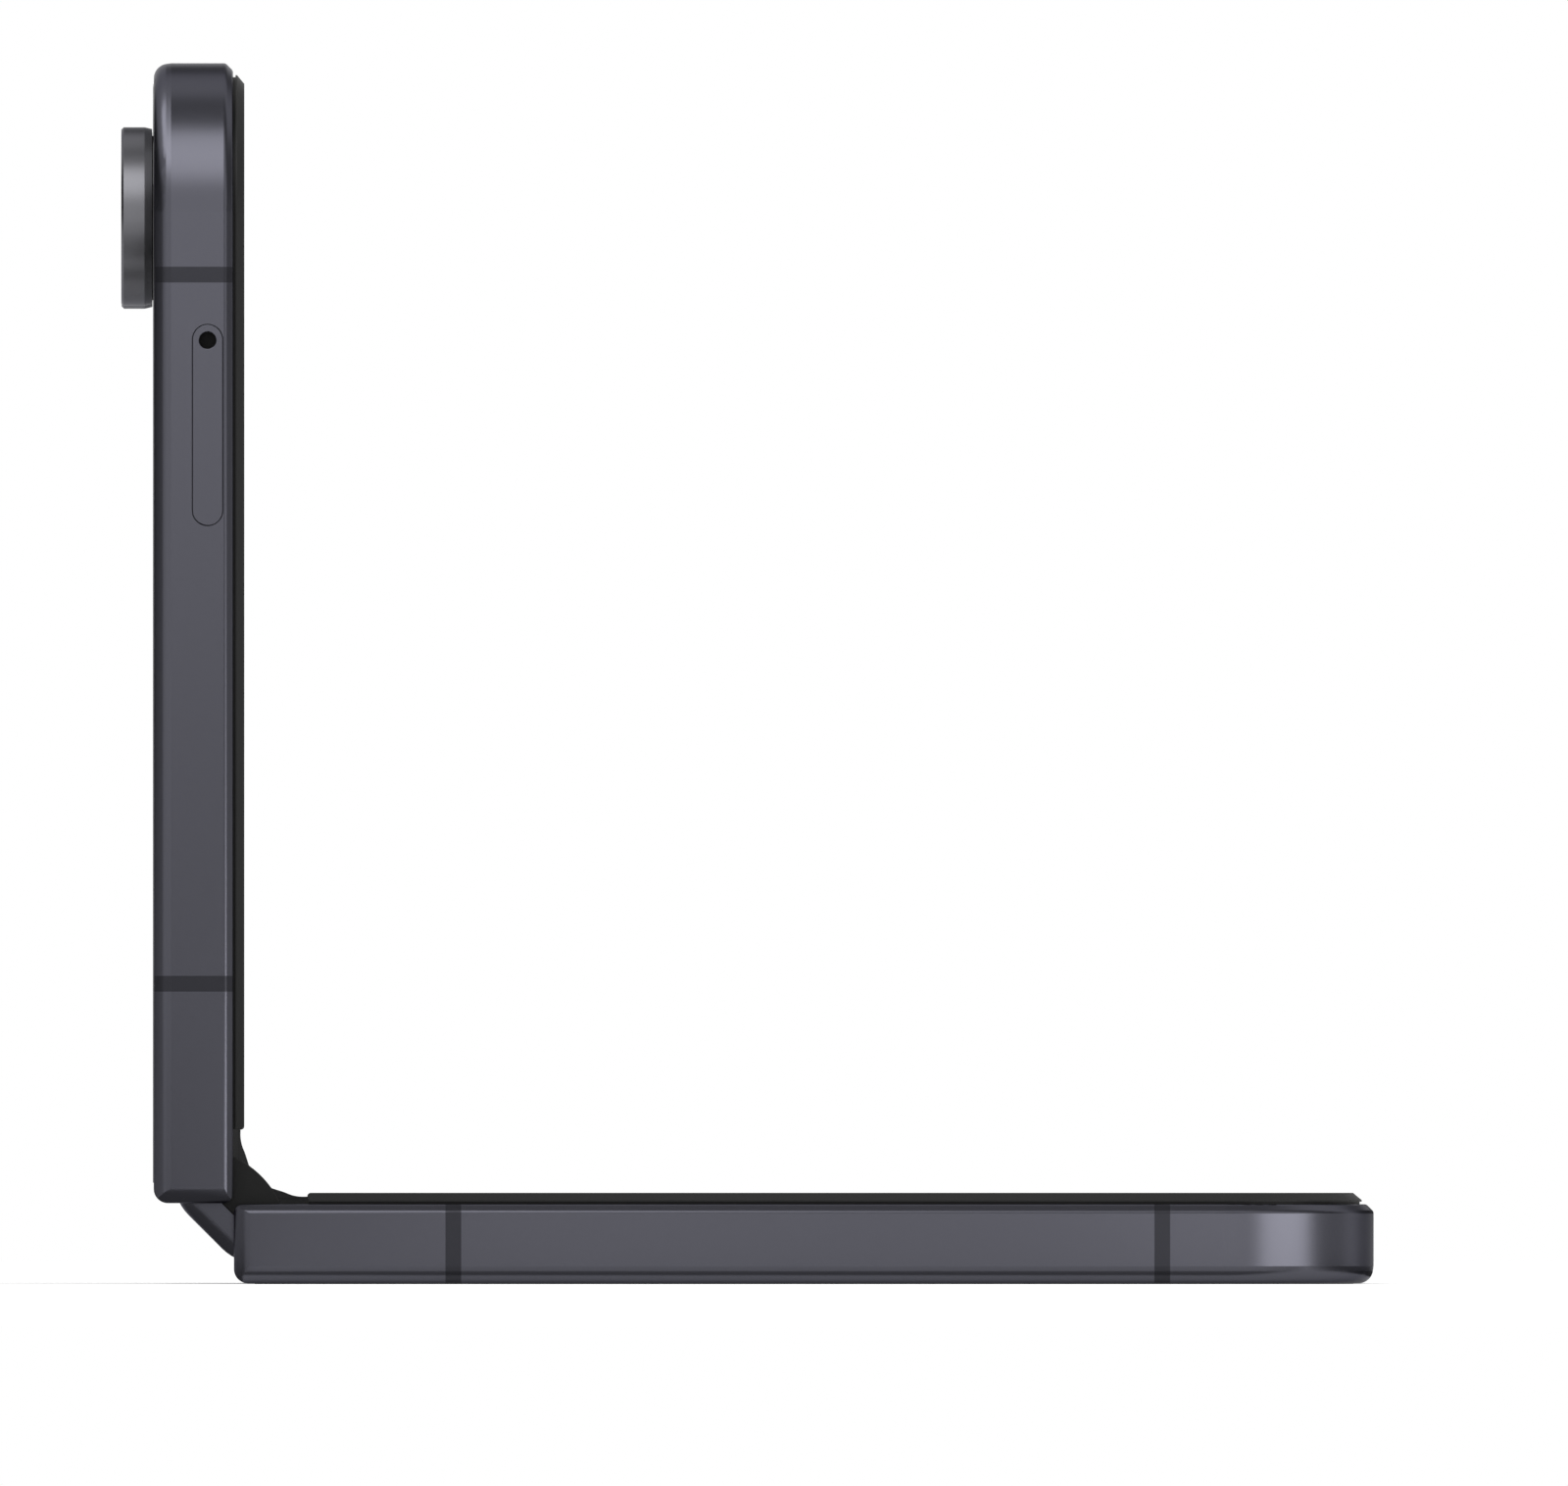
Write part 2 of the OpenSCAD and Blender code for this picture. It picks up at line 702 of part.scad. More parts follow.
// The spine cover's outside: flat back and round about each axis
module spine_form() {
    for (side = [0, 1]) mirror([side, 0, 0])
        translate([half_gap, 0, 0]) rotate([-90, 0, 0]) rotate_extrude(angle = 90) spine_profile();
    along(-half_gap, half_gap) rotate(-90) spine_profile();
}

module spine_cover() {
    hollow = spine_r - spine_wall;
    reach = spine_r + half_gap + lap;
    color("slategray") spine() difference() {
        spine_form();
        across(spine_len - 2 * cap_t) {
            for (side = [-1, 1]) translate([side * half_gap, 0]) circle(hollow, $fn = 96);
            translate([-half_gap, -hollow]) square([axis_gap, hollow]);
        }
        translate([-reach, -half_w, -spine_edge]) cube([2 * reach, body_w, spine_edge + lap]);
    }
}

// Black cap on an end of the spine, with a crowned top
module spine_cap(side) {
    across(cap_t, side * (spine_len - cap_t) / 2) intersection() {
        translate([-cap_half_w, -spine_edge]) square([2 * cap_half_w, cap_top + spine_edge]);
        translate([0, cap_top - cap_crown_r]) circle(cap_crown_r, $fn = 96);
    }
}

module spine_cap_left() color([0.08, 0.08, 0.08]) spine() spine_cap(-1);

module spine_cap_right() color([0.08, 0.08, 0.08]) spine() spine_cap(1);

// One hinge module's bracket: a floor on the spine cover and walls that hold the pins
module hinge_brackets() {
    floor_u = -spine_r + spine_wall;
    color("silver") spine() for (side = [-1, 1]) translate([0, side * module_y, 0]) difference() {
        union() {
            for (y = wall_y) across(wall_t, y) {
                for (end = [-1, 1]) translate([end * half_gap, 0]) circle(1);
                translate([-half_gap, floor_u]) square([axis_gap, 1 - floor_u]);
            }
            translate([-half_gap, wall_y[0], floor_u]) cube([axis_gap, wall_y[3] - wall_y[0], 0.5]);
        }
        for (end = [-1, 1]) {
            across(wall_t + 0.1, wall_y[1]) translate([end * half_gap, 0]) circle(knuckle_r + 0.06);
            across(30) translate([end * half_gap, 0]) circle(d = pin_d, $fn = 32);
            across(30) translate([end * idler_v, idler_u]) circle(d = idler_pin_d, $fn = 32);
        }
    }
}

module pins(v, u, d, from, to) {
    for (side = [-1, 1]) for (end = [-1, 1])
        across(to - from, side * module_y + (from + to) / 2) translate([end * v, u]) circle(d = d, $fn = 32);
}

module hinge_pins() {
    color("gainsboro") spine() pins(half_gap, 0, pin_d, wall_y[0] - wall_t / 2, wall_y[3] + wall_t / 2);
}

module idler_pins() {
    color("gainsboro") spine()
        pins(idler_v, idler_u, idler_pin_d, wall_y[0] - wall_t / 2, wall_y[1] + wall_t / 2);
}

// Springs that press the cams together and hold the phone open at any angle
module cam_springs() {
    color("dimgray") spine() for (side = [-1, 1]) for (end = [-1, 1])
        translate([end * half_gap, side * module_y + spring_y, 0]) across(wall_y[3] - wall_y[2] - wall_t) difference() {
            circle(d = pin_d + 0.9);
            circle(d = pin_d, $fn = 32);
        }
}

// A point given from the lower axis along and over its half, in the spine's own directions
function over_half(reach, height) = [(reach - height) / sqrt(2) + half_gap, (reach + height) / sqrt(2)];

// Half of the screen's bend with its soft backing, from beside the middle of its face round to that of its back
fold_end = rim_start - 0.02 - axis_in;
fold_base = screen_top - axis_z + 0.02;
fold_face = fold_base + fold_t;
bend_half = [
    [0.5, fold_middle + 0.12],
    over_half(fold_end - 2.75, fold_face + 0.66),
    over_half(fold_end - 1.8, fold_face + 0.35),
    over_half(fold_end - 1.2, fold_face + 0.1),
    over_half(fold_end - 0.6, fold_face),
    over_half(fold_end, fold_face),
    over_half(fold_end, fold_base),
    over_half(screen_start - 0.02 - axis_in, fold_base),
    [1.2, fold_middle - 0.2]
];

module folding_screen() {
    other_half = [for (i = [len(bend_half) - 1 : -1 : 0]) [-bend_half[i][0], bend_half[i][1]]];
    color([0.02, 0.02, 0.03]) spine() across(body_w - 2 * screen_inset)
        polygon(concat(bend_half, other_half, [[0, fold_middle]]));
}

// Flat cable from one half to the other, under the screen's bend
flex_half = [[0, 0.1], [half_gap / 2, 0.25], over_half(0.6, flex_top), over_half(flex_reach, flex_top)];
module hinge_flex() {
    run = concat([for (i = [len(flex_half) - 1 : -1 : 1]) [-flex_half[i][0], flex_half[i][1]]], flex_half);
    back = [for (i = [len(run) - 1 : -1 : 0]) [run[i][0], run[i][1] - flex_t * sqrt(2)]];
    color("saddlebrown") spine() across(flex_w) polygon(concat(run, back));
}

module idler_gears(end, tooth) {
    for (side = [-1, 1]) translate([end * idler_v, side * module_y, idler_u])
        across(gear_w - 0.1, gear_y) difference() {
            gear_outline(tooth);
            circle(d = idler_pin_d + 2 * pin_gap, $fn = 32);
        }
}

module lower_idler_gears() color("goldenrod") spine() idler_gears(1, second_tooth);

module upper_idler_gears() color("goldenrod") spine() idler_gears(-1, third_tooth);

// Upper half

module stadium(len, h) {
    translate([-(len - h) / 2, -h / 2]) square([len - h, h]);
    for (side = [-1, 1]) translate([side * (len - h) / 2, 0]) circle(h / 2);
}

// A stadium lying in the side rail, from one distance off the rail's outside to another
module in_rail(side, x, z, len, h, from, to) {
    translate([x, side * (half_w - (from + to) / 2), z]) across(to - from) stadium(len, h);
}

// The same for a round hole or pin
module round_in_rail(side, x, z, d, from, to) {
    translate([x, side * (half_w - (from + to) / 2), z]) across(to - from) circle(d = d, $fn = 32);
}

module key_slot(x, len) {
    wide = flange + key_gap;
    in_rail(1, x, key_z, len + 2 * key_gap, key_h + 2 * key_gap, -lap, key_face + lap / 2);
    in_rail(1, x, key_z, len + 2 * wide, key_h + 2 * wide, key_face, rail_t + lap);
}

module side_key(x, len) {
    in_rail(1, x, key_z, len, key_h, -key_proud, key_face + 0.1);
    in_rail(1, x, key_z, len + 2 * flange, key_h + 2 * flange, key_face + 0.02, key_face + flange);
}

carrier_from = tray_x - tray_len / 2 + 0.8;
reader_wall = 0.25;
reader_gap = 0.2;
ejector_foot = ejector_d / 2 + 0.2;
reader_from = carrier_from - reader_gap - reader_wall;
reader_to = eject_x - ejector_foot - 0.1;
carrier_w = reader_to - reader_gap - reader_wall - carrier_from;
carrier_z = tray_z - carrier_t;

module tray_slot() {
    in_rail(-1, tray_x, tray_z, tray_len + 2 * tray_gap, tray_h + 2 * tray_gap, -lap, head_t + 0.1);
    translate([carrier_from - tray_gap, -half_w, carrier_z - tray_gap])
        cube([carrier_w + 2 * tray_gap, rail_t + lap, carrier_t + 2 * tray_gap]);
    round_in_rail(-1, eject_x, tray_z, ejector_d + 0.1, head_t, ejector_to + eject_travel + 0.1);
}

upper_mic_y = 16;
module upper_frame() color("slategray") upper() difference() {
    frame_body();
    tray_slot();
    key_slot(volume_x, volume_len);
    key_slot(power_x, power_len);
    end_hole(upper_mic_y, usb_z, mic_hole_d);
    translate([front_camera_x, 0, 0]) cylinder(d = front_camera_d + 0.1, h = frame_t);
}

module upper_antenna_bands() color("dimgray") upper() antenna_bands();

module camera_places() {
    for (y = camera_y) translate([camera_x, y, 0]) children();
}

module upper_back_glass() {
    color([0.13, 0.13, 0.15]) upper() difference() {
        back_glass();
        camera_places() translate([0, 0, -lap]) cylinder(d = barrel_d + 0.1, h = 3 * lap);
        translate([camera_x, flash_y, -lap]) cylinder(d = flash_d, h = 3 * lap);
    }
}

module outer_display() {
    edge = 1.2;
    color([0.02, 0.02, 0.04]) upper() difference() {
        layer(glass_floor, battery_floor - 0.1) plan(rail_t + edge, cavity_start + edge);
        camera_places() cylinder(d = ring_d + edge, h = 3 * lap);
        translate([camera_x, flash_y, 0]) cylinder(d = flash_d + edge, h = 3 * lap);
    }
}

module upper_rim() color([0.1, 0.1, 0.1]) upper() rim();

front_camera_x = half_len - screen_inset - front_camera_in;
module upper_screen() {
    color([0.02, 0.02, 0.03]) upper() difference() {
        screen();
        translate([front_camera_x, 0, screen_floor - lap]) cylinder(d = front_camera_d, h = 4);
    }
}

// Metal ring round a camera: straight sides, a slight taper at the foot and a stepped bore
lens_step = lens_depth + lens_t;
module camera_rings() {
    bore = lens_d / 2 + 0.05;
    bore_bevel = 0.4;
    color("silver") upper() camera_places() mirror([0, 0, 1]) rotate_extrude() polygon([
        [barrel_d / 2, seat_h],
        [ring_foot_d / 2, seat_h],
        [ring_d / 2, seat_h + ring_taper_h],
        [ring_d / 2, ring_h - ring_bevel],
        [ring_d / 2 - ring_bevel, ring_h],
        [bore + bore_bevel, ring_h],
        [bore, ring_h - lens_depth],
        [bore, ring_h - lens_step],
        [barrel_d / 2, ring_h - lens_step]
    ]);
}

module camera_seats() {
    color([0.05, 0.05, 0.06]) upper() camera_places() translate([0, 0, -seat_h]) difference() {
        cylinder(d = seat_d, h = seat_h);
        translate([0, 0, -lap]) cylinder(d = barrel_d + 0.2, h = 3 * lap);
    }
}

module camera_lenses() {
    color([0.1, 0.1, 0.16]) upper() camera_places()
        translate([0, 0, lens_depth - ring_h]) cylinder(d = lens_d, h = lens_t);
}

// A square body on the board and a barrel up into the ring, with a funnel in front of the lens
module camera_modules() {
    floor_z = glass_floor + 0.1;
    color([0.12, 0.12, 0.12]) upper() camera_places() {
        difference() {
            translate([0, 0, lens_step + 0.2 - ring_h]) cylinder(d = barrel_d - 0.1, h = ring_h);
            translate([0, 0, -ring_h]) cylinder(d1 = barrel_d - 1.2, d2 = barrel_d * 0.4, h = ring_h);
        }
        translate([-module_w / 2, -module_w / 2, floor_z]) cube([module_w, module_w, inside_top - floor_z]);
    }
}

module flash() {
    color("lemonchiffon") upper() translate([camera_x, flash_y, 0.05]) {
        cylinder(d = flash_d - 0.1, h = glass_t);
        cylinder(d = flash_d - 0.8, h = board_z - 0.05);
    }
}

main_board_x = reader_from - board_lead;
module board_plan() {
    clear = module_w / 2 + 0.5;
    front = 4.3;
    difference() {
        translate([main_board_x, -inside_w / 2]) square([inside_end - front - main_board_x, inside_w]);
        translate([camera_x - clear, -half_w]) square([half_len, camera_y[1] + clear + half_w]);
        translate([front_camera_x, 0]) circle(d = front_camera_d + 1.5);
    }
}

module main_board() {
    color("darkgreen") upper() fitted(board_z, board_z + board_t) layer(0, frame_t) board_plan();
}

earpiece_x = inside_end - earpiece_len - 2.5;
on_board = board_z + board_t;
module board_shield() {
    edge = 1.5;
    color("gainsboro") upper() translate([main_board_x + edge, earpiece_y, on_board])
        cube([earpiece_x - main_board_x - 2 * edge, shield_w, inside_top - on_board]);
}

module upper_battery() color([0.2, 0.2, 0.22]) upper() battery(main_board_x);

module earpiece() {
    color([0.15, 0.15, 0.15]) upper() translate([earpiece_x, earpiece_y, on_board])
        cube([earpiece_len, earpiece_w, inside_top - on_board]);
}

module front_camera() {
    glass_below = 0.25;
    color([0.05, 0.05, 0.08]) upper() translate([front_camera_x, 0, board_z])
        cylinder(d = front_camera_d - 0.1, h = screen_top - glass_below - board_z);
}

// Metal cover over the tray's carrier, open towards the rail
module sim_reader() {
    depth = carrier_len + 0.5;
    start_y = rail_t + inside_gap - half_w;
    height = tray_z + 0.1 - on_board;
    color("silver") upper() difference() {
        translate([reader_from, start_y, on_board])
            cube([reader_to - reader_from, depth, height + reader_wall]);
        translate([reader_from + reader_wall, start_y - lap, on_board + reader_wall / 2])
            cube([
                reader_to - reader_from - 2 * reader_wall,
                depth + lap - reader_wall,
                height - reader_wall / 2
            ]);
    }
}

// Black plunger that a pin pushes in through the hole in the tray's face
ejector_to = rail_t + 0.6;
module sim_ejector() {
    foot_y = rail_t + 0.1;
    color([0.1, 0.1, 0.1]) upper() {
        round_in_rail(-1, eject_x, tray_z, ejector_d, head_t + 0.15, ejector_to);
        translate([eject_x - ejector_foot, foot_y - half_w, on_board + 0.15])
            cube([3 * ejector_foot, ejector_to - foot_y, inside_top - on_board - 0.15]);
    }
}

// Dome switches behind the keys, on the strip that carries them
module key_switches() {
    strip_h = key_h * 0.8;
    front = key_face + flange + key_travel + 0.05;
    color("goldenrod") upper() for (place = [[volume_x, volume_len], [power_x, power_len]])
        in_rail(1, place[0], key_z, place[1] - key_h, strip_h, front, rail_t + inside_gap - 0.05);
}

module upper_hinge_arms() {
    color("lightsteelblue") upper() translate([axis_in, 0, axis_z]) hinge_arm(135 - fourth_tooth);
}

module upper_hinge_screws() color("silver") upper() hinge_screws();

// Tray for the card: a rounded face flush with the rail and a flat carrier with a window
module sim_tray() {
    frame_w = 1.05;
    card_floor = 0.15;
    color("slategray") upper() difference() {
        union() {
            in_rail(-1, tray_x, tray_z, tray_len, tray_h, 0.02, head_t);
            translate([carrier_from, head_t - 0.1 - half_w, carrier_z])
                cube([carrier_w, carrier_len, carrier_t]);
        }
        translate([carrier_from + frame_w, head_t + frame_w - half_w, carrier_z + card_floor])
            cube([carrier_w - 2 * frame_w, carrier_len - 2 * frame_w, lap]);
        translate([carrier_from + 2 * frame_w, head_t + 2 * frame_w - half_w, carrier_z - lap])
            cube([carrier_w - 4 * frame_w, carrier_len - 4 * frame_w, 2 * lap]);
        round_in_rail(-1, eject_x, tray_z, eject_d, -lap, rail_t);
    }
}

module volume_key() color("slategray") upper() side_key(volume_x, volume_len);

module power_key() color("slategray") upper() side_key(power_x, power_len);

lower_frame();
lower_antenna_bands();
lower_back_glass();
lower_rim();
lower_screen();
lower_battery();
charging_coil();
lower_board();
usb_receptacle();
loudspeaker();
vibration_motor();
microphone();
lower_hinge_arms();
lower_hinge_screws();
spine_cover();
spine_cap_left();
spine_cap_right();
hinge_brackets();
hinge_pins();
idler_pins();
cam_springs();
folding_screen();
hinge_flex();
lower_idler_gears();
upper_idler_gears();
upper_frame();
upper_antenna_bands();
upper_back_glass();
outer_display();
upper_rim();
upper_screen();
camera_rings();
camera_seats();
camera_lenses();
camera_modules();
flash();
main_board();
board_shield();
upper_battery();
earpiece();
front_camera();
sim_reader();
sim_ejector();
key_switches();
upper_hinge_arms();
upper_hinge_screws();
sim_tray();
volume_key();
power_key();
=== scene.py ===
# %% [markdown]
# # A folding phone, open at a right angle
#
# The solids of this phone come from its CAD model. Blender's part is its looks: the finish of each piece, the parts
# that bend, and the light in which it is seen.

# %% Load the phone
import json
import math

import bmesh
import bpy
from mathutils import Matrix, Vector


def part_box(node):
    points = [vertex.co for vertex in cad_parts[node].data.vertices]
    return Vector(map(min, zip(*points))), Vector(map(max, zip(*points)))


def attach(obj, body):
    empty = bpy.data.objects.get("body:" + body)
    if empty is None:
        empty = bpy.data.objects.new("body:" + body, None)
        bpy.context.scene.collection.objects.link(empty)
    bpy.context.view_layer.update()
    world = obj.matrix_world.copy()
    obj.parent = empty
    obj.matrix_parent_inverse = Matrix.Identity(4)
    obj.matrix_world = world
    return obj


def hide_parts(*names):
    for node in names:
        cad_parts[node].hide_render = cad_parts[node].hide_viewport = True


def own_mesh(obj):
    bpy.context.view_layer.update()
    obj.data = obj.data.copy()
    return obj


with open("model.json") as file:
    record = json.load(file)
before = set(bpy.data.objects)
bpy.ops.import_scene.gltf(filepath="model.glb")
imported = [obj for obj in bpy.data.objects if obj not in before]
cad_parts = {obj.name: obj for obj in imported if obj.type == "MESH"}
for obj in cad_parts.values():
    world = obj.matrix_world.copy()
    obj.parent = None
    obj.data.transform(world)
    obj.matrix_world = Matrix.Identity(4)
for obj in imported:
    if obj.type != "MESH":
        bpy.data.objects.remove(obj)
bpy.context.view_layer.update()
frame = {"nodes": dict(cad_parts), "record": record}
nodes = frame["nodes"]
mm = 0.001
scene = bpy.context.scene

# %% [markdown]
# ## The camera
#
# The picture is a pure side view with no visible perspective. A very long lens from five metres away gives that: it
# stands level with the lower screen and in line with the upper one, so that neither screen's face shows, and turns by
# less than half a degree to put the phone where the picture has it.

# %% Place the camera
view_width = 114.34 * mm
near_side = -37.6 * mm
beside_upper_screen, over_lower_screen = -41.1 * mm, 6.6 * mm
picture_middle = Vector((-1.537 * mm, near_side, 39.455 * mm))
camera = bpy.data.cameras.new("side_view")
camera.lens, camera.sensor_width, camera.clip_end = 1550, 36, 20
distance = view_width * camera.lens / camera.sensor_width
stand = Vector((beside_upper_screen, near_side - distance, over_lower_screen))
camera_object = bpy.data.objects.new("side_view", camera)
camera_object.location = stand
camera_object.rotation_mode = "QUATERNION"
camera_object.rotation_quaternion = (picture_middle - stand).to_track_quat("-Z", "Y")
scene.collection.objects.link(camera_object)
scene.camera = camera_object
scene.view_settings.view_transform = "Standard"
print("the camera stands", round(distance, 2), "m away")

# %% [markdown]
# ## Shader maths
#
# A finish is a small network of nodes. Written as sums and products it reads like the sentence it stands for, so one
# class wraps a node's output: maths on it adds Math nodes, and its node method adds any other node.


# %% A class for a node's output
class Wire:
    """A node's output. Maths on it adds Math nodes, and node() adds any other node to its tree."""

    def __init__(self, tree, socket=None):
        self.tree, self.socket = tree, socket

    def node(self, kind, sockets=None, out=0, **settings):
        """Adds a node of a kind, with its settings, and gives its sockets their values or links."""
        made = self.tree.nodes.new("ShaderNode" + kind)
        for name, setting in settings.items():
            setattr(made, name, setting)
        ready = [s for s in made.inputs if s.enabled]
        for name, given in (sockets or {}).items():
            socket = ready[name] if isinstance(name, int) else made.inputs[name]
            if isinstance(given, Wire):
                self.tree.links.new(given.socket, socket)
            else:
                socket.default_value = given
        outputs = [s for s in made.outputs if s.enabled]
        return Wire(self.tree, outputs[out] if isinstance(out, int) else made.outputs[out])

    def maths(self, operation, first, second=0.0, clamp=False):
        return self.node("Math", {0: first, 1: second}, operation=operation, use_clamp=clamp)

    def __add__(self, other):
        return self.maths("ADD", self, other)

    def __sub__(self, other):
        return self.maths("SUBTRACT", self, other)

    def __rsub__(self, other):
        return self.maths("SUBTRACT", other, self)

    def __mul__(self, other):
        return self.maths("MULTIPLY", self, other)

    def over(self, level):
        """1 where this is above a level, else 0."""
        return self.maths("GREATER_THAN", self, level)

    def wave(self, pitch_mm):
        """A wave from -1 to 1 that repeats every pitch_mm of a length in metres."""
        return self.node("Math", {0: self * (2 * math.pi / (pitch_mm * mm))}, operation="SINE")

    def size(self):
        return self.node("Math", {0: self}, operation="ABSOLUTE")

    def beside(self, other):
        """The other output of the same node."""
        return Wire(self.tree, self.socket.node.outputs[other])

    __radd__ = __add__
    __rmul__ = __mul__


# %% [markdown]
# ## What a finish starts from
#
# Most finishes here are one Principled shader whose roughness and relief vary a little over the surface. The helpers
# below make the shader with its constant values, find a point's place on the piece in metres, and add grain of a
# given size, so that each finish can say its own scale in millimetres.

# %% Helpers for finishes
finishes = {}


def srgb(*levels):
    """A screen colour from 0 to 255 as the linear colour that Blender mixes."""
    flat = [level / 255 for level in levels]
    return tuple(c / 12.92 if c < 0.04045 else ((c + 0.055) / 1.055) ** 2.4 for c in flat) + (1,)


def start_finish(name, colour, roughness, metallic=0.0, **constants):
    """A Principled shader with its constants set, and a Wire to build on."""
    made = bpy.data.materials.new(name)
    made.use_nodes = True
    shader = made.node_tree.nodes["Principled BSDF"]
    shader.inputs["Base Color"].default_value = colour
    shader.inputs["Roughness"].default_value = roughness
    shader.inputs["Metallic"].default_value = metallic
    for socket, value in constants.items():
        shader.inputs[socket.replace("_", " ")].default_value = value
    finishes[name] = made
    print("finish:", name, "roughness", roughness, "metallic", metallic)
    return Wire(made.node_tree), shader


def feed(wire, shader, socket):
    """Links what a wire carries to one of a shader's sockets."""
    wire.tree.links.new(wire.socket, shader.inputs[socket])


def place_of(wire):
    """Where a point of the piece is, in metres."""
    return wire.node("TexCoord", out="Object")


def along_axes(wire):
    """The three parts of that place."""
    x = wire.node("SeparateXYZ", {"Vector": place_of(wire)})
    return x, x.beside("Y"), x.beside("Z")


def off_axis(wire, across, up):
    """The distance from an axis, from the two lengths square to it."""
    return wire.maths("POWER", across * across + up * up, 0.5)


def grain(wire, size_mm, detail=2.0, stretch=None):
    """Noise whose blotches are about size_mm across, squeezed by the given factors."""
    place = place_of(wire)
    if stretch:
        place = wire.node("Mapping", {"Vector": place, "Scale": stretch})
    return wire.node("TexNoise", {"Vector": place, "Scale": 1 / (size_mm * mm), "Detail": detail}, out="Fac")


def tint(amount, low, high):
    """The colour that lies between two, by an amount from 0 to 1."""
    return amount.node("Mix", {0: amount, 1: low, 2: high}, data_type="RGBA")


def relief(shader, height, depth_mm, strength=1.0):
    """Makes the surface catch light as if it stood out by height times depth_mm."""
    feed(height.node("Bump", {"Height": height, "Distance": depth_mm * mm, "Strength": strength}), shader, "Normal")


# %% [markdown]
# ## The rail's metal
#
# The rails, the hinge cover, the keys and the card tray's face are aluminium, blasted with fine beads and anodised
# dark grey. The blasting leaves pits of a few hundredths of a millimetre, too small to see one by one: they blur what
# the metal mirrors. So the finish is a metal of middling roughness with fine grain in its roughness and relief. Bare
# metal turns bright where it is seen at a slant. The dyed oxide layer swallows most of that, which the specular tint
# gives, so the rounded edges stay dark.

# %% Blasted and anodised aluminium
rail_colour = srgb(82, 82, 89.5)
at_a_slant = (0.5, 0.5, 0.52, 1)
rail, rail_shader = start_finish("anodised_rail", rail_colour, 0.3, 1.0, Specular_Tint=at_a_slant)
feed(0.26 + 0.05 * grain(rail, 0.12) + 0.02 * grain(rail, 6.0), rail_shader, "Roughness")
relief(rail_shader, grain(rail, 0.06), 0.0006, 0.4)
print("rail colour, linear:", [round(c, 3) for c in rail_colour[:3]])

# %% [markdown]
# ## Antenna bands
#
# A metal frame would shut the radio waves in, so thin strips of plastic cut it. Their plastic is coloured and finished
# to look like the metal. It holds metal-like flakes, so it follows the rail's reflections at a lower level.

# %% Plastic that imitates the rail
band, band_shader = start_finish("antenna_insert", srgb(53, 53, 58), 0.34, 0.9, Specular_Tint=at_a_slant)
feed(0.31 + 0.06 * grain(band, 0.15), band_shader, "Roughness")
relief(band_shader, grain(band, 0.08), 0.0005, 0.3)


# %% [markdown]
# ## Black plastics
#
# The raised rim round the screen is a soft black moulding with a fine eroded texture. The hinge's end caps are
# smoother and darker. Both would look grey if they mirrored the white room as strongly as clear plastic does. The
# real ones are filled with carbon black and finely textured, so their specular level is set low.


# %% Rim, cap, module and seal
def black_plastic(name, level, roughness, gloss, grain_mm, depth_mm):
    """A moulded black. level is its colour from 0 to 255, gloss its specular level."""
    wire, shader = start_finish(name, srgb(level, level, level), roughness, Specular_IOR_Level=gloss)
    eroded = grain(wire, grain_mm, 3.0)
    feed(roughness - 0.05 + 0.1 * grain(wire, 2 * grain_mm), shader, "Roughness")
    colour = tint(eroded, srgb(*[level - 3] * 3), srgb(*[level + 3] * 3))
    feed(colour, shader, "Base Color")
    relief(shader, eroded, depth_mm, 0.5)
    return wire, shader, colour


rim, rim_shader, rim_colour = black_plastic(
    "rim_plastic", level=24, roughness=0.5, gloss=0.2, grain_mm=0.08, depth_mm=0.002)
# The rim's undercut foot, up to this height over each half's back glass, is darkened to near black: painted shade in
# the recess where the rim meets the frame
foot_shade_top, upper_back_x = 6.03, -47.552
x, _, z = along_axes(rim)
painted_foot_shade = rim.maths("MAXIMUM", 1 - z.over(foot_shade_top * mm), 1 - x.over((upper_back_x + foot_shade_top) * mm))
# Painted shade: the rim's colour turns near black over its foot
feed(tint(painted_foot_shade, rim_colour, srgb(3, 3, 3)), rim_shader, "Base Color")
black_plastic("cap_plastic", level=21, roughness=0.42, gloss=0.15, grain_mm=0.1, depth_mm=0.001)
black_plastic("module_plastic", level=16, roughness=0.55, gloss=0.2, grain_mm=0.12, depth_mm=0.004)
black_plastic("seal_rubber", level=18, roughness=0.7, gloss=0.15, grain_mm=0.2, depth_mm=0.003)

# %% [markdown]
# ## Glass
#
# Three kinds of glass lie on the phone. The lower back panel is etched to a satin touch over a dark film with a faint
# pearl. The upper one is polished, because the outer display lies right behind it: a display that is off looks black,
# a touch greyer than the black border printed round it. The screens are polished and almost black too. The cameras'
# covers are clear and let one look down into the barrels. Their coating gives a blue cast and keeps them from mirroring
# the room, which a low index of refraction stands for.

# %% Back panels, screens and lenses
back, back_shader = start_finish("back_glass", srgb(40, 41, 48), 0.34)
x, y, z = along_axes(back)
display_low, display_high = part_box("outer_display")
past_upper_panel, printed_border = -46.9 * mm, 0.8 * mm
upper_panel = 1 - x.over(past_upper_panel)
half_tall = (display_high[2] - display_low[2]) / 2 - printed_border
from_middle = (z - (display_low[2] + display_high[2]) / 2).size()
outside_display = back.maths(
    "MAXIMUM", y.size().over(display_high[1] - printed_border), from_middle.over(half_tall))
satin = tint(grain(back, 0.05, 4.0), srgb(36, 37, 43), srgb(46, 47, 55))
display = tint(grain(back, 0.09), srgb(13, 13, 16), srgb(17, 17, 20))
feed(tint(upper_panel, satin, tint(outside_display, display, srgb(5, 5, 6))), back_shader, "Base Color")
feed((0.3 + 0.08 * grain(back, 0.4)) * (1 - 0.8 * upper_panel), back_shader, "Roughness")
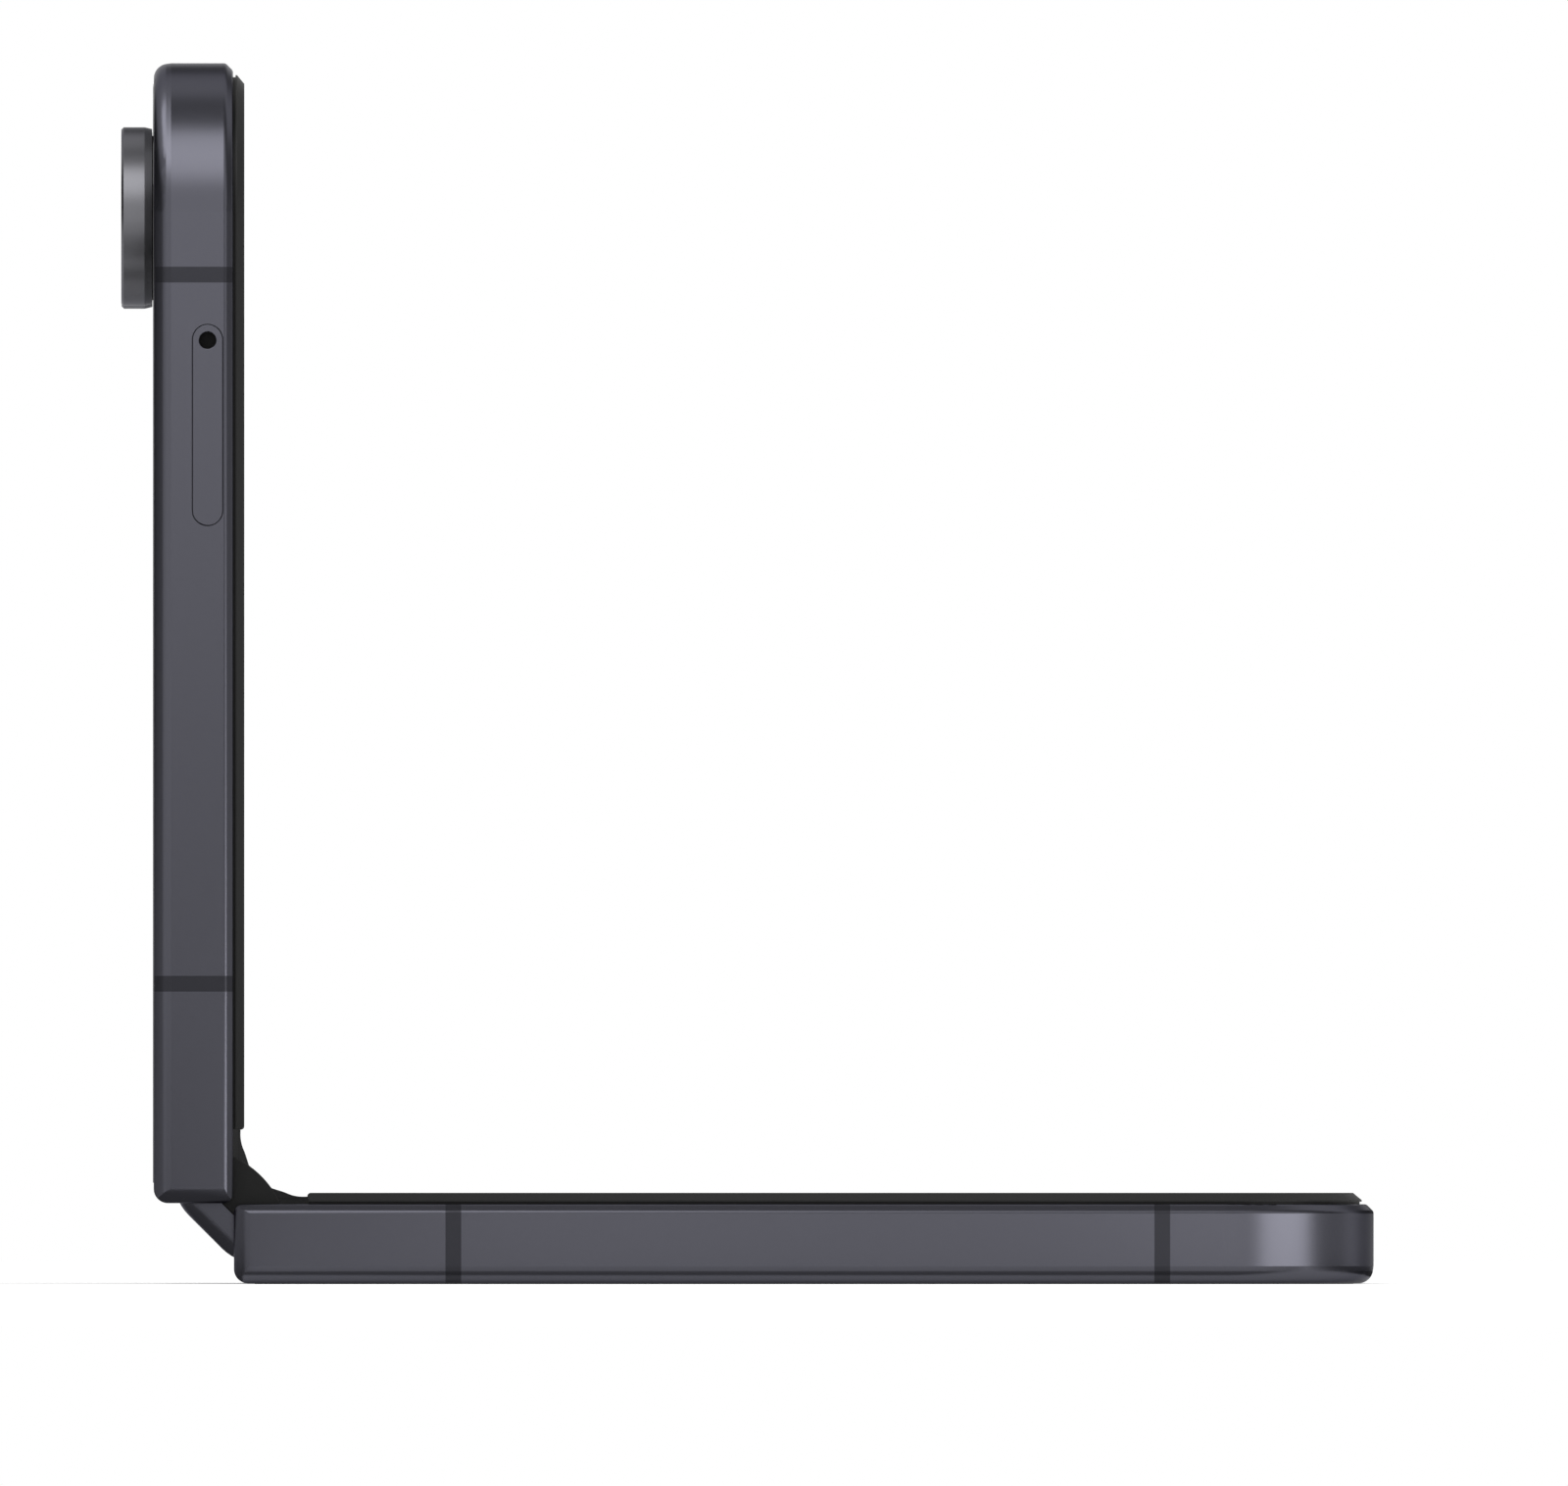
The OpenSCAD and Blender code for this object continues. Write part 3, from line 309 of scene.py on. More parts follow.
screen, screen_shader = start_finish("screen_glass", srgb(6, 6, 8), 0.06, Specular_IOR_Level=0.45)
feed(0.045 + 0.03 * grain(screen, 9.0), screen_shader, "Roughness")
feed(tint(grain(screen, 0.09), srgb(5, 5, 7), srgb(8, 8, 10)), screen_shader, "Base Color")
lens, lens_shader = start_finish("camera_glass", srgb(196, 206, 232), 0, IOR=1.25, Transmission_Weight=1.0)
feed(tint(grain(lens, 2.0), srgb(190, 200, 230), srgb(202, 212, 234)), lens_shader, "Base Color")

# %% [markdown]
# ## Turned metal
#
# The camera rings are turned on a lathe, which leaves grooves a few hundredths of a millimetre apart round each
# ring's axis. A wave over the distance from the nearer axis draws them.

# %% Camera rings
ring, ring_shader = start_finish("ring_metal", srgb(103, 103, 107), 0.34, 1.0, Specular_Tint=at_a_slant)
ring_low, ring_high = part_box("camera_rings")
ring_z = (ring_low[2] + ring_high[2]) / 2
ring_r = (ring_high[2] - ring_low[2]) / 2
ring_ys = (ring_low[1] + ring_r, ring_high[1] - ring_r)
_, y, z = along_axes(ring)
aside = ring.maths("MINIMUM", (y - ring_ys[0]).size(), (y - ring_ys[1]).size())
grooves = off_axis(ring, aside, z - ring_z).wave(pitch_mm=0.06)
feed(0.33 + 0.03 * grain(ring, 0.2), ring_shader, "Roughness")
relief(ring_shader, 0.5 + 0.5 * grooves, 0.0012, 0.5)
print("rings at y, z in mm:", [round(v / mm, 2) for v in (*ring_ys, ring_z)], "radius", round(ring_r / mm, 2))

# %% [markdown]
# ## Ground metal, foil and copper
#
# The hinge's steel parts are ground, the gears are cut from brass, and the shields are rolled sheet. Each keeps the
# scratches of its tool, long in one direction. The batteries are wrapped in dark foil with soft wrinkles, and the
# charging coil is a spiral of lacquered copper wire.


# %% Steel, brass, foil and wire
def ground_metal(name, colour, roughness, streak, groove_mm, depth_mm=0.001, metallic=1.0):
    """A metal with fine scratches along the axis that streak squeezes least."""
    wire, shader = start_finish(name, colour, roughness, metallic)
    scratches = grain(wire, groove_mm, 4.0, streak)
    feed(roughness - 0.06 + 0.12 * scratches, shader, "Roughness")
    relief(shader, scratches, depth_mm, 0.5)


ground_metal("hinge_steel", srgb(186, 187, 190), roughness=0.3, streak=(8, 1, 8), groove_mm=0.3)
ground_metal("gear_brass", srgb(212, 176, 98), roughness=0.32, streak=(6, 1, 6), groove_mm=0.3)
ground_metal("shield_steel", srgb(196, 197, 200), roughness=0.34, streak=(1, 5, 1), groove_mm=0.5)
# The foil has soft wrinkles in place of scratches
ground_metal(
    "battery_foil", srgb(46, 46, 49), roughness=0.4, streak=(1, 1, 1), groove_mm=3.0, depth_mm=0.05, metallic=0.6)
copper, copper_shader = start_finish("copper_coil", srgb(206, 122, 84), 0.3, 1.0)
x, y, _ = along_axes(copper)
windings = off_axis(copper, x, y).wave(pitch_mm=0.5)
feed(0.32 - 0.1 * windings, copper_shader, "Roughness")
relief(copper_shader, windings, 0.05)

# %% [markdown]
# ## Boards, film and flash
#
# A circuit board is green lacquer over copper tracks, which show as paler lines. The flat cables are amber film with
# copper strips inside. The flash is a yellow phosphor under a clear lens.

# %% Board lacquer, amber film and phosphor
board, board_shader = start_finish("circuit_board", srgb(14, 62, 40), 0.3, Coat_Weight=0.3)
edge_of_cell = {"Vector": place_of(board), "Scale": 1 / (1.4 * mm)}
on_track = 1 - board.node("TexVoronoi", edge_of_cell, feature="DISTANCE_TO_EDGE").over(0.06)
feed(tint(on_track, srgb(14, 62, 40), srgb(40, 104, 66)), board_shader, "Base Color")
relief(board_shader, on_track, 0.02, 0.5)
film, film_shader = start_finish("flex_film", srgb(150, 86, 30), 0.24, Coat_Weight=0.4)
_, y, _ = along_axes(film)
feed(tint(y.wave(pitch_mm=0.8).over(0.2), srgb(126, 66, 22), srgb(178, 108, 52)), film_shader, "Base Color")
feed(0.2 + 0.1 * grain(film, 0.5), film_shader, "Roughness")
phosphor, phosphor_shader = start_finish("flash_lens", srgb(236, 224, 150), 0.12, Coat_Weight=0.6)
feed(tint(grain(phosphor, 0.25), srgb(226, 208, 120), srgb(244, 236, 180)), phosphor_shader, "Base Color")
feed(0.1 + 0.08 * grain(phosphor, 0.6), phosphor_shader, "Roughness")

# %% [markdown]
# ## A finish for every solid
#
# The record that comes with the solids names a finish for each. A mesh has slots for its materials, and the finish goes
# into the solid's slot. Most solids need no more than that, since their shape is right as it is.

# %% Give each solid its finish
slot_of = {part["node"]: part["material_slot"] for part in frame["record"]["subparts"]}
for name, node in nodes.items():
    for slot in node.material_slots:
        slot.material = finishes[slot_of[name]]
print("finishes:", len(finishes))

# %% [markdown]
# ## Frames to build in
#
# Each half is easiest to think of as lying on its back: l runs from its hinge end to its far end, y across it, and n
# up from its back glass. The spine has its own directions: v from the upper axis to the lower one, and u towards the
# bend of the screen. A matrix takes millimetres in each of these frames to metres on the phone.

# %% The frames of the two halves and the spine
to_metres = Matrix.Scale(mm, 4)
lower_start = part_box("lower_frame")[0][0] / mm
upper_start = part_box("upper_frame")[0][2] / mm
upper_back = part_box("upper_back_glass")[0][0] / mm
lower_half = to_metres @ Matrix.Translation((lower_start, 0, 0))
upper_half = to_metres @ Matrix(((0, 0, 1, upper_back), (0, 1, 0, 0), (1, 0, 0, upper_start), (0, 0, 0, 1)))
fold_axes = [Vector(joint["pos_m"]) / mm for joint in frame["record"]["behaviour"]["joints"][:2]]
spine_middle = (fold_axes[0] + fold_axes[1]) / 2
half_gap = (fold_axes[0] - fold_axes[1]).length / 2
slant = math.sqrt(0.5)
spine = to_metres @ Matrix(
    ((slant, 0, slant, spine_middle.x), (0, 1, 0, 0), (-slant, 0, slant, spine_middle.z), (0, 0, 0, 1)))
print("spine's middle in mm:", [round(v, 3) for v in spine_middle], "half gap", round(half_gap, 3))

# %% [markdown]
# ## From a drawn mesh to a piece
#
# A new piece is drawn as a bmesh, Blender's editable mesh, in millimetres in one of these frames. Then it is moved to
# its place, shaded smooth apart from its sharp edges, hung on the body it rides on and given its finish, and the solid
# it stands for is hidden.


# %% Helpers for pieces
def finish_piece(name, mesh, place, body, slot, *stands_for, sharp=35):
    """Puts a mesh drawn in one of the frames on the phone, riding on a body."""
    bmesh.ops.transform(mesh, matrix=place, verts=mesh.verts)
    bmesh.ops.recalc_face_normals(mesh, faces=mesh.faces)
    data = bpy.data.meshes.new(name)
    mesh.to_mesh(data)
    mesh.free()
    data.shade_smooth()
    data.set_sharp_from_angle(angle=math.radians(sharp))
    data.materials.append(finishes[slot])
    piece = bpy.data.objects.new(name, data)
    scene.collection.objects.link(piece)
    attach(piece, body)
    if stands_for:
        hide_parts(*stands_for)
    print(name, "faces:", len(data.polygons))
    return piece


def chain(mesh, points):
    """Vertices joined by edges, in the plane of x and z."""
    corners = [mesh.verts.new((x, 0, z)) for x, z in points]
    return corners + [mesh.edges.new(pair) for pair in zip(corners, corners[1:])]


def vertices_of(parts):
    """The vertices among what an operator made."""
    return [part for part in parts if isinstance(part, bmesh.types.BMVert)]


# %% [markdown]
# ## The bending stretch of the screen
#
# Between the halves the screen is a strip of thin glass on a soft backing. Open at a right angle it curls from one
# rim, down into the hinge and up to the other rim. The CAD solid has that shape in a few flat steps. Here it is drawn
# as a smooth curve. Both halves of its outline are alike, so one is drawn and mirrored.


# %% Lines for a bent strip
def smooth_line(points, steps=6):
    """A smooth curve through points, steps short lines from each to the next."""
    ends = [points[0], *points, points[-1]]
    curve = []
    for a, b, c, d in zip(ends, ends[1:], ends[2:], ends[3:]):
        for step in range(steps):
            t = step / steps
            curve.append(tuple(0.5 * (2 * q + (r - p) * t + (2 * p - 5 * q + 4 * r - s) * t ** 2
                                      + (3 * q - p - 3 * r + s) * t ** 3) for p, q, r, s in zip(a, b, c, d)))
    return curve + [points[-1]]


def both_sides(half_line):
    """A line from the middle outwards, with its mirror image before it."""
    return [(-v, u) for v, u in reversed(half_line) if v > 0] + half_line


def over_half(reach, height):
    """A point along and over the lower half from its axis, in the spine's own directions."""
    return (reach - height) * slant + half_gap, (reach + height) * slant


# %% Bend the screen
strip_width = 2 * 34.65
face_line = [(0, 1.72), (0.5, 1.83), over_half(0.99, 1.9), over_half(1.94, 1.59), over_half(2.54, 1.36),
             over_half(3.14, 1.25), over_half(3.74, 1.25)]
backing_line = [(0, 1.52), (1.2, 1.52), over_half(1.26, 1.12), over_half(3.74, 1.12)]
mesh = bmesh.new()
outline = both_sides(smooth_line(face_line)) + both_sides(backing_line)[::-1]
mesh.faces.new([mesh.verts.new((v, -strip_width / 2, u)) for v, u in outline])
pulled = bmesh.ops.extrude_face_region(mesh, geom=mesh.faces[:])["geom"]
bmesh.ops.translate(mesh, vec=(0, strip_width, 0), verts=vertices_of(pulled))
strip = finish_piece("bending_screen", mesh, spine, "spine", "screen_glass", "folding_screen")
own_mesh(strip)

# %% [markdown]
# ## The flat cable through the hinge
#
# A strip of amber film carries the wires from one half to the other. It lies under the screen's bend and follows the
# hinge in the same way.

# %% Bend the cable
cable_width, cable_thickness = 12, 0.1
cable_line = [(0, 0.04), (0.86, 0.19), over_half(0.6, 0), over_half(1.6, 0), over_half(3.4, 0), over_half(5.15, 0)]
mesh = bmesh.new()
edges = [part for part in chain(mesh, both_sides(smooth_line(cable_line))) if isinstance(part, bmesh.types.BMEdge)]
pulled = bmesh.ops.extrude_edge_only(mesh, edges=edges)["geom"]
bmesh.ops.translate(mesh, vec=(0, cable_width, 0), verts=vertices_of(pulled))
bmesh.ops.translate(mesh, vec=(0, -cable_width / 2, 0), verts=mesh.verts)
bmesh.ops.recalc_face_normals(mesh, faces=mesh.faces)
bmesh.ops.solidify(mesh, geom=mesh.faces[:], thickness=cable_thickness)
cable = finish_piece("bending_cable", mesh, spine, "spine", "flex_film", "hinge_flex")
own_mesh(cable)

# %% [markdown]
# ## Softened edges
#
# A key, a tray or a cap is never quite sharp at its face: blasting or moulding rounds it, and that thin round catches a
# line of light. The CAD solids of these small pieces have sharp faces, so each is copied, its loose triangles are
# merged and joined into whole faces, and the edge of its outer face is bevelled.


# %% Bevel the faces of the keys, the tray and the hinge's caps
def soften(name, node, body, side, width):
    """A copy of a node whose outer face, on one side of the phone, gets a bevelled edge."""
    mesh = bmesh.new()
    mesh.from_mesh(nodes[node].data)
    bmesh.ops.transform(mesh, matrix=nodes[node].matrix_world, verts=mesh.verts)
    bmesh.ops.remove_doubles(mesh, verts=mesh.verts, dist=0.002 * mm)
    bmesh.ops.dissolve_limit(mesh, angle_limit=math.radians(0.5), verts=mesh.verts, edges=mesh.edges)
    face_y = max(side * v.co.y for v in mesh.verts)
    on_face = {v for v in mesh.verts if side * v.co.y > face_y - 0.01 * mm}
    rim_edges = [e for e in mesh.edges if set(e.verts) <= on_face and e.calc_face_angle(0) > math.radians(40)]
    bmesh.ops.bevel(mesh, geom=rim_edges, offset=width * mm, segments=3, profile=0.5, material=-1, affect="EDGES")
    finish_piece(name, mesh, Matrix(), body, slot_of[node], node, sharp=12)


soften("volume_rocker", "volume_key", "volume", side=1, width=0.18)
soften("power_button", "power_key", "power", side=1, width=0.18)
soften("card_tray", "sim_tray", "tray", side=-1, width=0.05)
soften("left_end_cap", "spine_cap_left", "spine", side=-1, width=0.1)
soften("right_end_cap", "spine_cap_right", "spine", side=1, width=0.1)

# %% [markdown]
# ## Turned pieces
#
# Lenses, their retaining rings and the flash are bodies of revolution. Each is drawn as half a section and spun about
# its axis.


# %% Spin half a section
def turned(section, place, mesh=None, steps=64):
    """Spins half a section about z, then moves it to its place. Adds to a mesh if one is given."""
    made = bmesh.new()
    bmesh.ops.spin(made, geom=chain(made, section), cent=(0, 0, 0), axis=(0, 0, 1), angle=2 * math.pi, steps=steps,
                   use_merge=True)
    bmesh.ops.remove_doubles(made, verts=made.verts, dist=0.0005)
    bmesh.ops.transform(made, matrix=place, verts=made.verts)
    if mesh is None:
        return made
    part = bpy.data.meshes.new("part")
    made.to_mesh(part)
    made.free()
    mesh.from_mesh(part)
    bpy.data.meshes.remove(part)
    return mesh


def dome(radius, foot, rise, edge=0.08, steps=10):
    """Half a section of a shallow lens: a curved top that rises over its foot, a thin edge and a flat underside."""
    angles = [math.pi / 2 * i / steps for i in range(steps + 1)]
    arc = [(radius * math.sin(angle), foot + rise * math.cos(angle)) for angle in angles]
    return [*arc, (radius - 0.02, foot - edge), (0, foot - edge)]


# %% [markdown]
# ## Camera lenses
#
# Under its clear cover each camera has a barrel, where a stepped black ring holds a domed lens. The cameras look out of
# the back, so heights are measured outwards from the back glass.

# %% Set the lenses in their rings
camera_l = ring_z / mm - upper_start
look_back = Matrix.Rotation(math.pi, 4, "Y")
stepped_rings = [(2.5, 1.0), (2.25, 1.0), (2.2, 0.95), (2.2, 0.72), (2.0, 0.72), (1.95, 0.67), (1.95, 0.5),
                 (2.06, 0.5), (2.5, 1.0)]
rings_mesh, lens_mesh = bmesh.new(), bmesh.new()
for ring_y in ring_ys:
    at_camera = Matrix.Translation((camera_l, ring_y / mm, 0)) @ look_back
    turned(stepped_rings, at_camera, rings_mesh)
    turned(dome(1.9, 0.42, 0.28), at_camera, lens_mesh)
finish_piece("lens_retainers", rings_mesh, upper_half, "upper_half", "module_plastic")
finish_piece("lens_elements", lens_mesh, upper_half, "upper_half", "camera_glass")

# %% [markdown]
# ## The flash
#
# The flash is in line with the cameras: a yellow phosphor under a lens that is pressed with fine rings, which spread
# the light. Its half section ends in the teeth of a saw, and spinning makes each tooth a ring.

# %% Press the flash's lens
flash_low, flash_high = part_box("flash")
flash_y = (flash_low[1] + flash_high[1]) / 2 / mm
ridges, pitch, first_ridge, lens_top, flash_r = 6, 0.24, 0.1, -0.06, 1.65
saw = [(0, lens_top)]
for i in range(ridges):
    ridge = first_ridge + i * pitch
    saw += [(ridge, lens_top), (ridge + 0.03, -0.11), (first_ridge + (i + 0.85) * pitch, -0.07)]
flash_section = [*saw, (1.6, lens_top), (flash_r, -0.1), (flash_r, -0.59), (1.3, -0.6), (1.3, -2.05), (0, -2.05)]
at_flash = Matrix.Translation((camera_l, flash_y, 0)) @ look_back
finish_piece("flash_lens", turned(flash_section, at_flash), upper_half, "upper_half", "flash_lens", "flash", sharp=20)

# %% [markdown]
# ## The front camera
#
# The small camera looks the other way, out of a hole in the upper screen. Its lens is a dome on top of the CAD solid.

# %% Set the front lens
front_low, front_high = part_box("front_camera")
front_l = front_low[2] / mm / 2 + front_high[2] / mm / 2 - upper_start
front_top = front_high[0] / mm - upper_back
front_dome = turned(dome(1.1, front_top + 0.01, 0.12), Matrix.Translation((front_l, 0, 0)))
finish_piece("front_lens", front_dome, upper_half, "upper_half", "camera_glass")

# %% [markdown]
# ## Springs in the hinge
#
# A short stiff spring on each hinge pin presses two cams together, which holds the phone open at any angle. A spring
# is a small circle spun about the pin while it moves along it.

# %% Wind the cam springs
spring_low, spring_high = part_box("cam_springs")
spring_length, spring_r, wire_r, end_gap = 3.1, 0.63, 0.19, 0.02
turns, turn_steps = 5.5, 20
first_y, last_y = spring_low[1] / mm + spring_length / 2, spring_high[1] / mm - spring_length / 2
mesh = bmesh.new()
for middle_y in (first_y, last_y):
    for side in (-1, 1):
        start = Matrix.Translation((side * half_gap + spring_r, middle_y - spring_length / 2 + wire_r + end_gap, 0))
        section = bmesh.ops.create_circle(mesh, segments=10, radius=wire_r, cap_ends=True, matrix=start)["verts"]
        faces = list({face for vertex in section for face in vertex.link_faces})
        whole = section + list({edge for vertex in section for edge in vertex.link_edges}) + faces
        travel = (spring_length - 2 * wire_r - 2 * end_gap) / (turns * turn_steps)
        bmesh.ops.spin(mesh, geom=whole, cent=(side * half_gap, 0, 0), axis=(0, 1, 0), dvec=(0, travel, 0),
                       angle=2 * math.pi * turns, steps=int(turns * turn_steps))
finish_piece("wound_springs", mesh, spine, "spine", "hinge_steel", "cam_springs", sharp=60)

# %% [markdown]
# ## Contacts in the charging port
#
# The tongue in the port carries twelve gold contacts on each face, half a millimetre apart.

# %% Lay the contacts
contact_pitch, contact_count, contact_l, proud = 0.5, 12, 79.5, 0.01
tongue_half = 0.35
port_low, port_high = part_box("usb_receptacle")
port_z = (port_low[2] + port_high[2]) / 2 / mm
contact_size = Matrix.Diagonal((3.4, 0.27, 0.03, 1))
mesh = bmesh.new()
for face in (-1, 1):
    for i in range(contact_count):
        contact_y = (i - (contact_count - 1) / 2) * contact_pitch
        spot = Matrix.Translation((contact_l, contact_y, port_z + face * (tongue_half + proud)))
        bmesh.ops.create_cube(mesh, size=1, matrix=spot @ contact_size)
bmesh.ops.bevel(mesh, geom=mesh.edges[:], offset=0.008, segments=1, profile=0.5, material=-1, affect="EDGES")
finish_piece("port_contacts", mesh, lower_half, "lower_half", "gear_brass")

# %% [markdown]
# ## The card in the tray
#
# The tray holds a card of 12.3 by 8.8 mm with one cut corner and eight gold contacts, as the smallest standard size
# has. It shows when the tray is out.

# %% Cut the card
tray_low, tray_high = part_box("sim_tray")
carrier_start, carrier_width, carrier_bar, carrier_floor = 50.21, 11.21, 1.05, 0.17
card_wide, card_long, card_thick, cut, play = 8.8, 12.3, 0.67, 1.65, 0.2
card_l = carrier_start + carrier_width / 2
card_y = tray_high[1] / mm - carrier_bar - play - card_long / 2
card_n = tray_low[0] / mm - upper_back + carrier_floor
corners = [(-1, -1), (1, -1), (1, 1), (-1, 1)]
outline = [(a * card_wide / 2, b * card_long / 2) for a, b in corners]
outline[2:3] = [(card_wide / 2, card_long / 2 - cut), (card_wide / 2 - cut, card_long / 2)]
mesh = bmesh.new()
mesh.faces.new([mesh.verts.new((card_l + a, card_y + b, card_n)) for a, b in outline])
pulled = bmesh.ops.extrude_face_region(mesh, geom=mesh.faces[:])["geom"]
bmesh.ops.translate(mesh, vec=(0, 0, card_thick), verts=vertices_of(pulled))
bmesh.ops.bevel(mesh, geom=mesh.edges[:], offset=0.04, segments=2, profile=0.5, material=-1, affect="EDGES")
finish_piece("sim_card", mesh, upper_half, "tray", "module_plastic")

# %% Lay the card's contacts
pad_size = Matrix.Diagonal((3.6, 2.2, 0.02, 1))
pad_rows, pad_pitch, pad_aside = 4, 2.4, 1.95
pad_n = card_n + card_thick + 0.005
mesh = bmesh.new()
for a in (-1, 1):
    for row in range(pad_rows):
        pad_middle = (card_l + a * pad_aside, card_y + (row - (pad_rows - 1) / 2) * pad_pitch, pad_n)
        bmesh.ops.create_cube(mesh, size=1, matrix=Matrix.Translation(pad_middle) @ pad_size)
upright = [e for e in mesh.edges if abs(e.verts[0].co.z - e.verts[1].co.z) > 0.01]
bmesh.ops.bevel(mesh, geom=upright, offset=0.4, segments=4, profile=0.5, material=-1, affect="EDGES")
finish_piece("card_contacts", mesh, upper_half, "tray", "gear_brass")

# %% [markdown]
# ## Floor and room
#
# The phone stands in a white room. The floor takes the phone's shadow and adds a little light of its own only where it
# is looked at or mirrored, so that it reads as white without more light falling on the phone. The room does the same.


# %% Build the floor and the room
def seen(wire):
    """1 for rays from the camera, a mirror or a clear piece, else 0."""
    by_camera = wire.node("LightPath", out="Is Camera Ray")
    mirrored = by_camera + by_camera.beside("Is Glossy Ray")
    return wire.maths("ADD", mirrored, by_camera.beside("Is Transmission Ray"), clamp=True)


def stage_piece(name, mesh, surface):
    """A mesh that belongs to the studio. surface takes a Wire and returns its shader's Wire."""
    data = bpy.data.meshes.new(name)
    mesh.to_mesh(data)
    mesh.free()
    coat = bpy.data.materials.new(name)
    coat.use_nodes = True
    coat.node_tree.nodes.remove(coat.node_tree.nodes["Principled BSDF"])
    shown = surface(Wire(coat.node_tree))
    feed(shown, coat.node_tree.nodes["Material Output"], "Surface")
    data.materials.append(coat)
    made = bpy.data.objects.new(name, data)
    scene.collection.objects.link(made)
    print("studio piece:", name, "faces:", len(data.polygons))
    return made


def floor_surface(wire):
    """White paint with a little light of its own."""
    paint = wire.node("BsdfDiffuse", {"Color": (0.85, 0.85, 0.85, 1)})
    own_light = wire.node("Emission", {"Strength": 0.3 * seen(wire)})
    return wire.node("AddShader", {0: paint, 1: own_light})


floor_radius = 1.6
mesh = bmesh.new()
bmesh.ops.create_circle(mesh, cap_ends=True, segments=96, radius=floor_radius)
stage_piece("floor", mesh, floor_surface)
world = bpy.data.worlds.new("studio")
scene.world = world
world.use_nodes = True
room = Wire(world.node_tree)
room_light = 0.85
background = world.node_tree.nodes["Background"]
background.inputs["Color"].default_value = (1, 1, 1, 1)
feed(room_light + (1 - room_light) * seen(room), background, "Strength")

# %% [markdown]
# ## Cards
#
# What gives metal its shape in a picture is what it mirrors. A photographer sets white and black cards round the
# phone, out of the picture: each shows only in what it mirrors. Here a card is a patch of a sphere of one metre round
# the phone. tilt is the angle off the camera's direction, and turn goes round that direction, from straight up to the
# right. The dark arches draw the dark bands round the corners of the rails. Small dark cards on the floor darken the
# round edges that face it: the lower rail's underside, the hinge's corner, the far end and the camera rings.


# %% Set up the cards round the phone
phone_middle = Vector((0, 0, 0.045))


def show_in_mirrors(name, mesh, level):
    """Makes a mesh a card that shows only in what mirrors it, at a level where 1 is white."""
    made = stage_piece(name, mesh, lambda wire: wire.node("Emission", {"Strength": level}))
    made.visible_camera = made.visible_diffuse = made.visible_transmission = made.visible_shadow = False


def card(name, tilt, turn, level, steps=16):
    """A patch of the sphere. tilt and turn say from where to where, in degrees."""
    first, last = (math.radians(angle) for angle in tilt)
    begin, end = (math.radians(angle) for angle in turn)
    mesh = bmesh.new()
    arc = []
    for i in range(steps + 1):
        angle = first + (last - first) * i / steps
        across = math.sin(angle)
        arc.append(mesh.verts.new((across * math.sin(begin), -math.cos(angle), across * math.cos(begin))))
    line = [mesh.edges.new(pair) for pair in zip(arc, arc[1:])]
    bmesh.ops.spin(mesh, geom=arc + line, cent=(0, 0, 0), axis=(0, 1, 0), angle=end - begin, steps=32)
    bmesh.ops.translate(mesh, vec=phone_middle, verts=mesh.verts)
    show_in_mirrors(name, mesh, level)


card("shade_round_camera", tilt=(0.5, 23), turn=(-48, 230), level=0.15)
card("dark_arch", tilt=(67, 98), turn=(-14, 58), level=0.25)
card("far_dark_arch", tilt=(132, 152), turn=(-14, 58), level=0.2)
card("right_dark_arch", tilt=(72, 104), turn=(58, 104), level=0.2)
card("right_far_shade", tilt=(122, 176), turn=(58, 104), level=0.1)
card("ring_light", tilt=(38, 98), turn=(-38, -15), level=3.8)
card("left_shade", tilt=(42, 150), turn=(-125, -62), level=0.05)


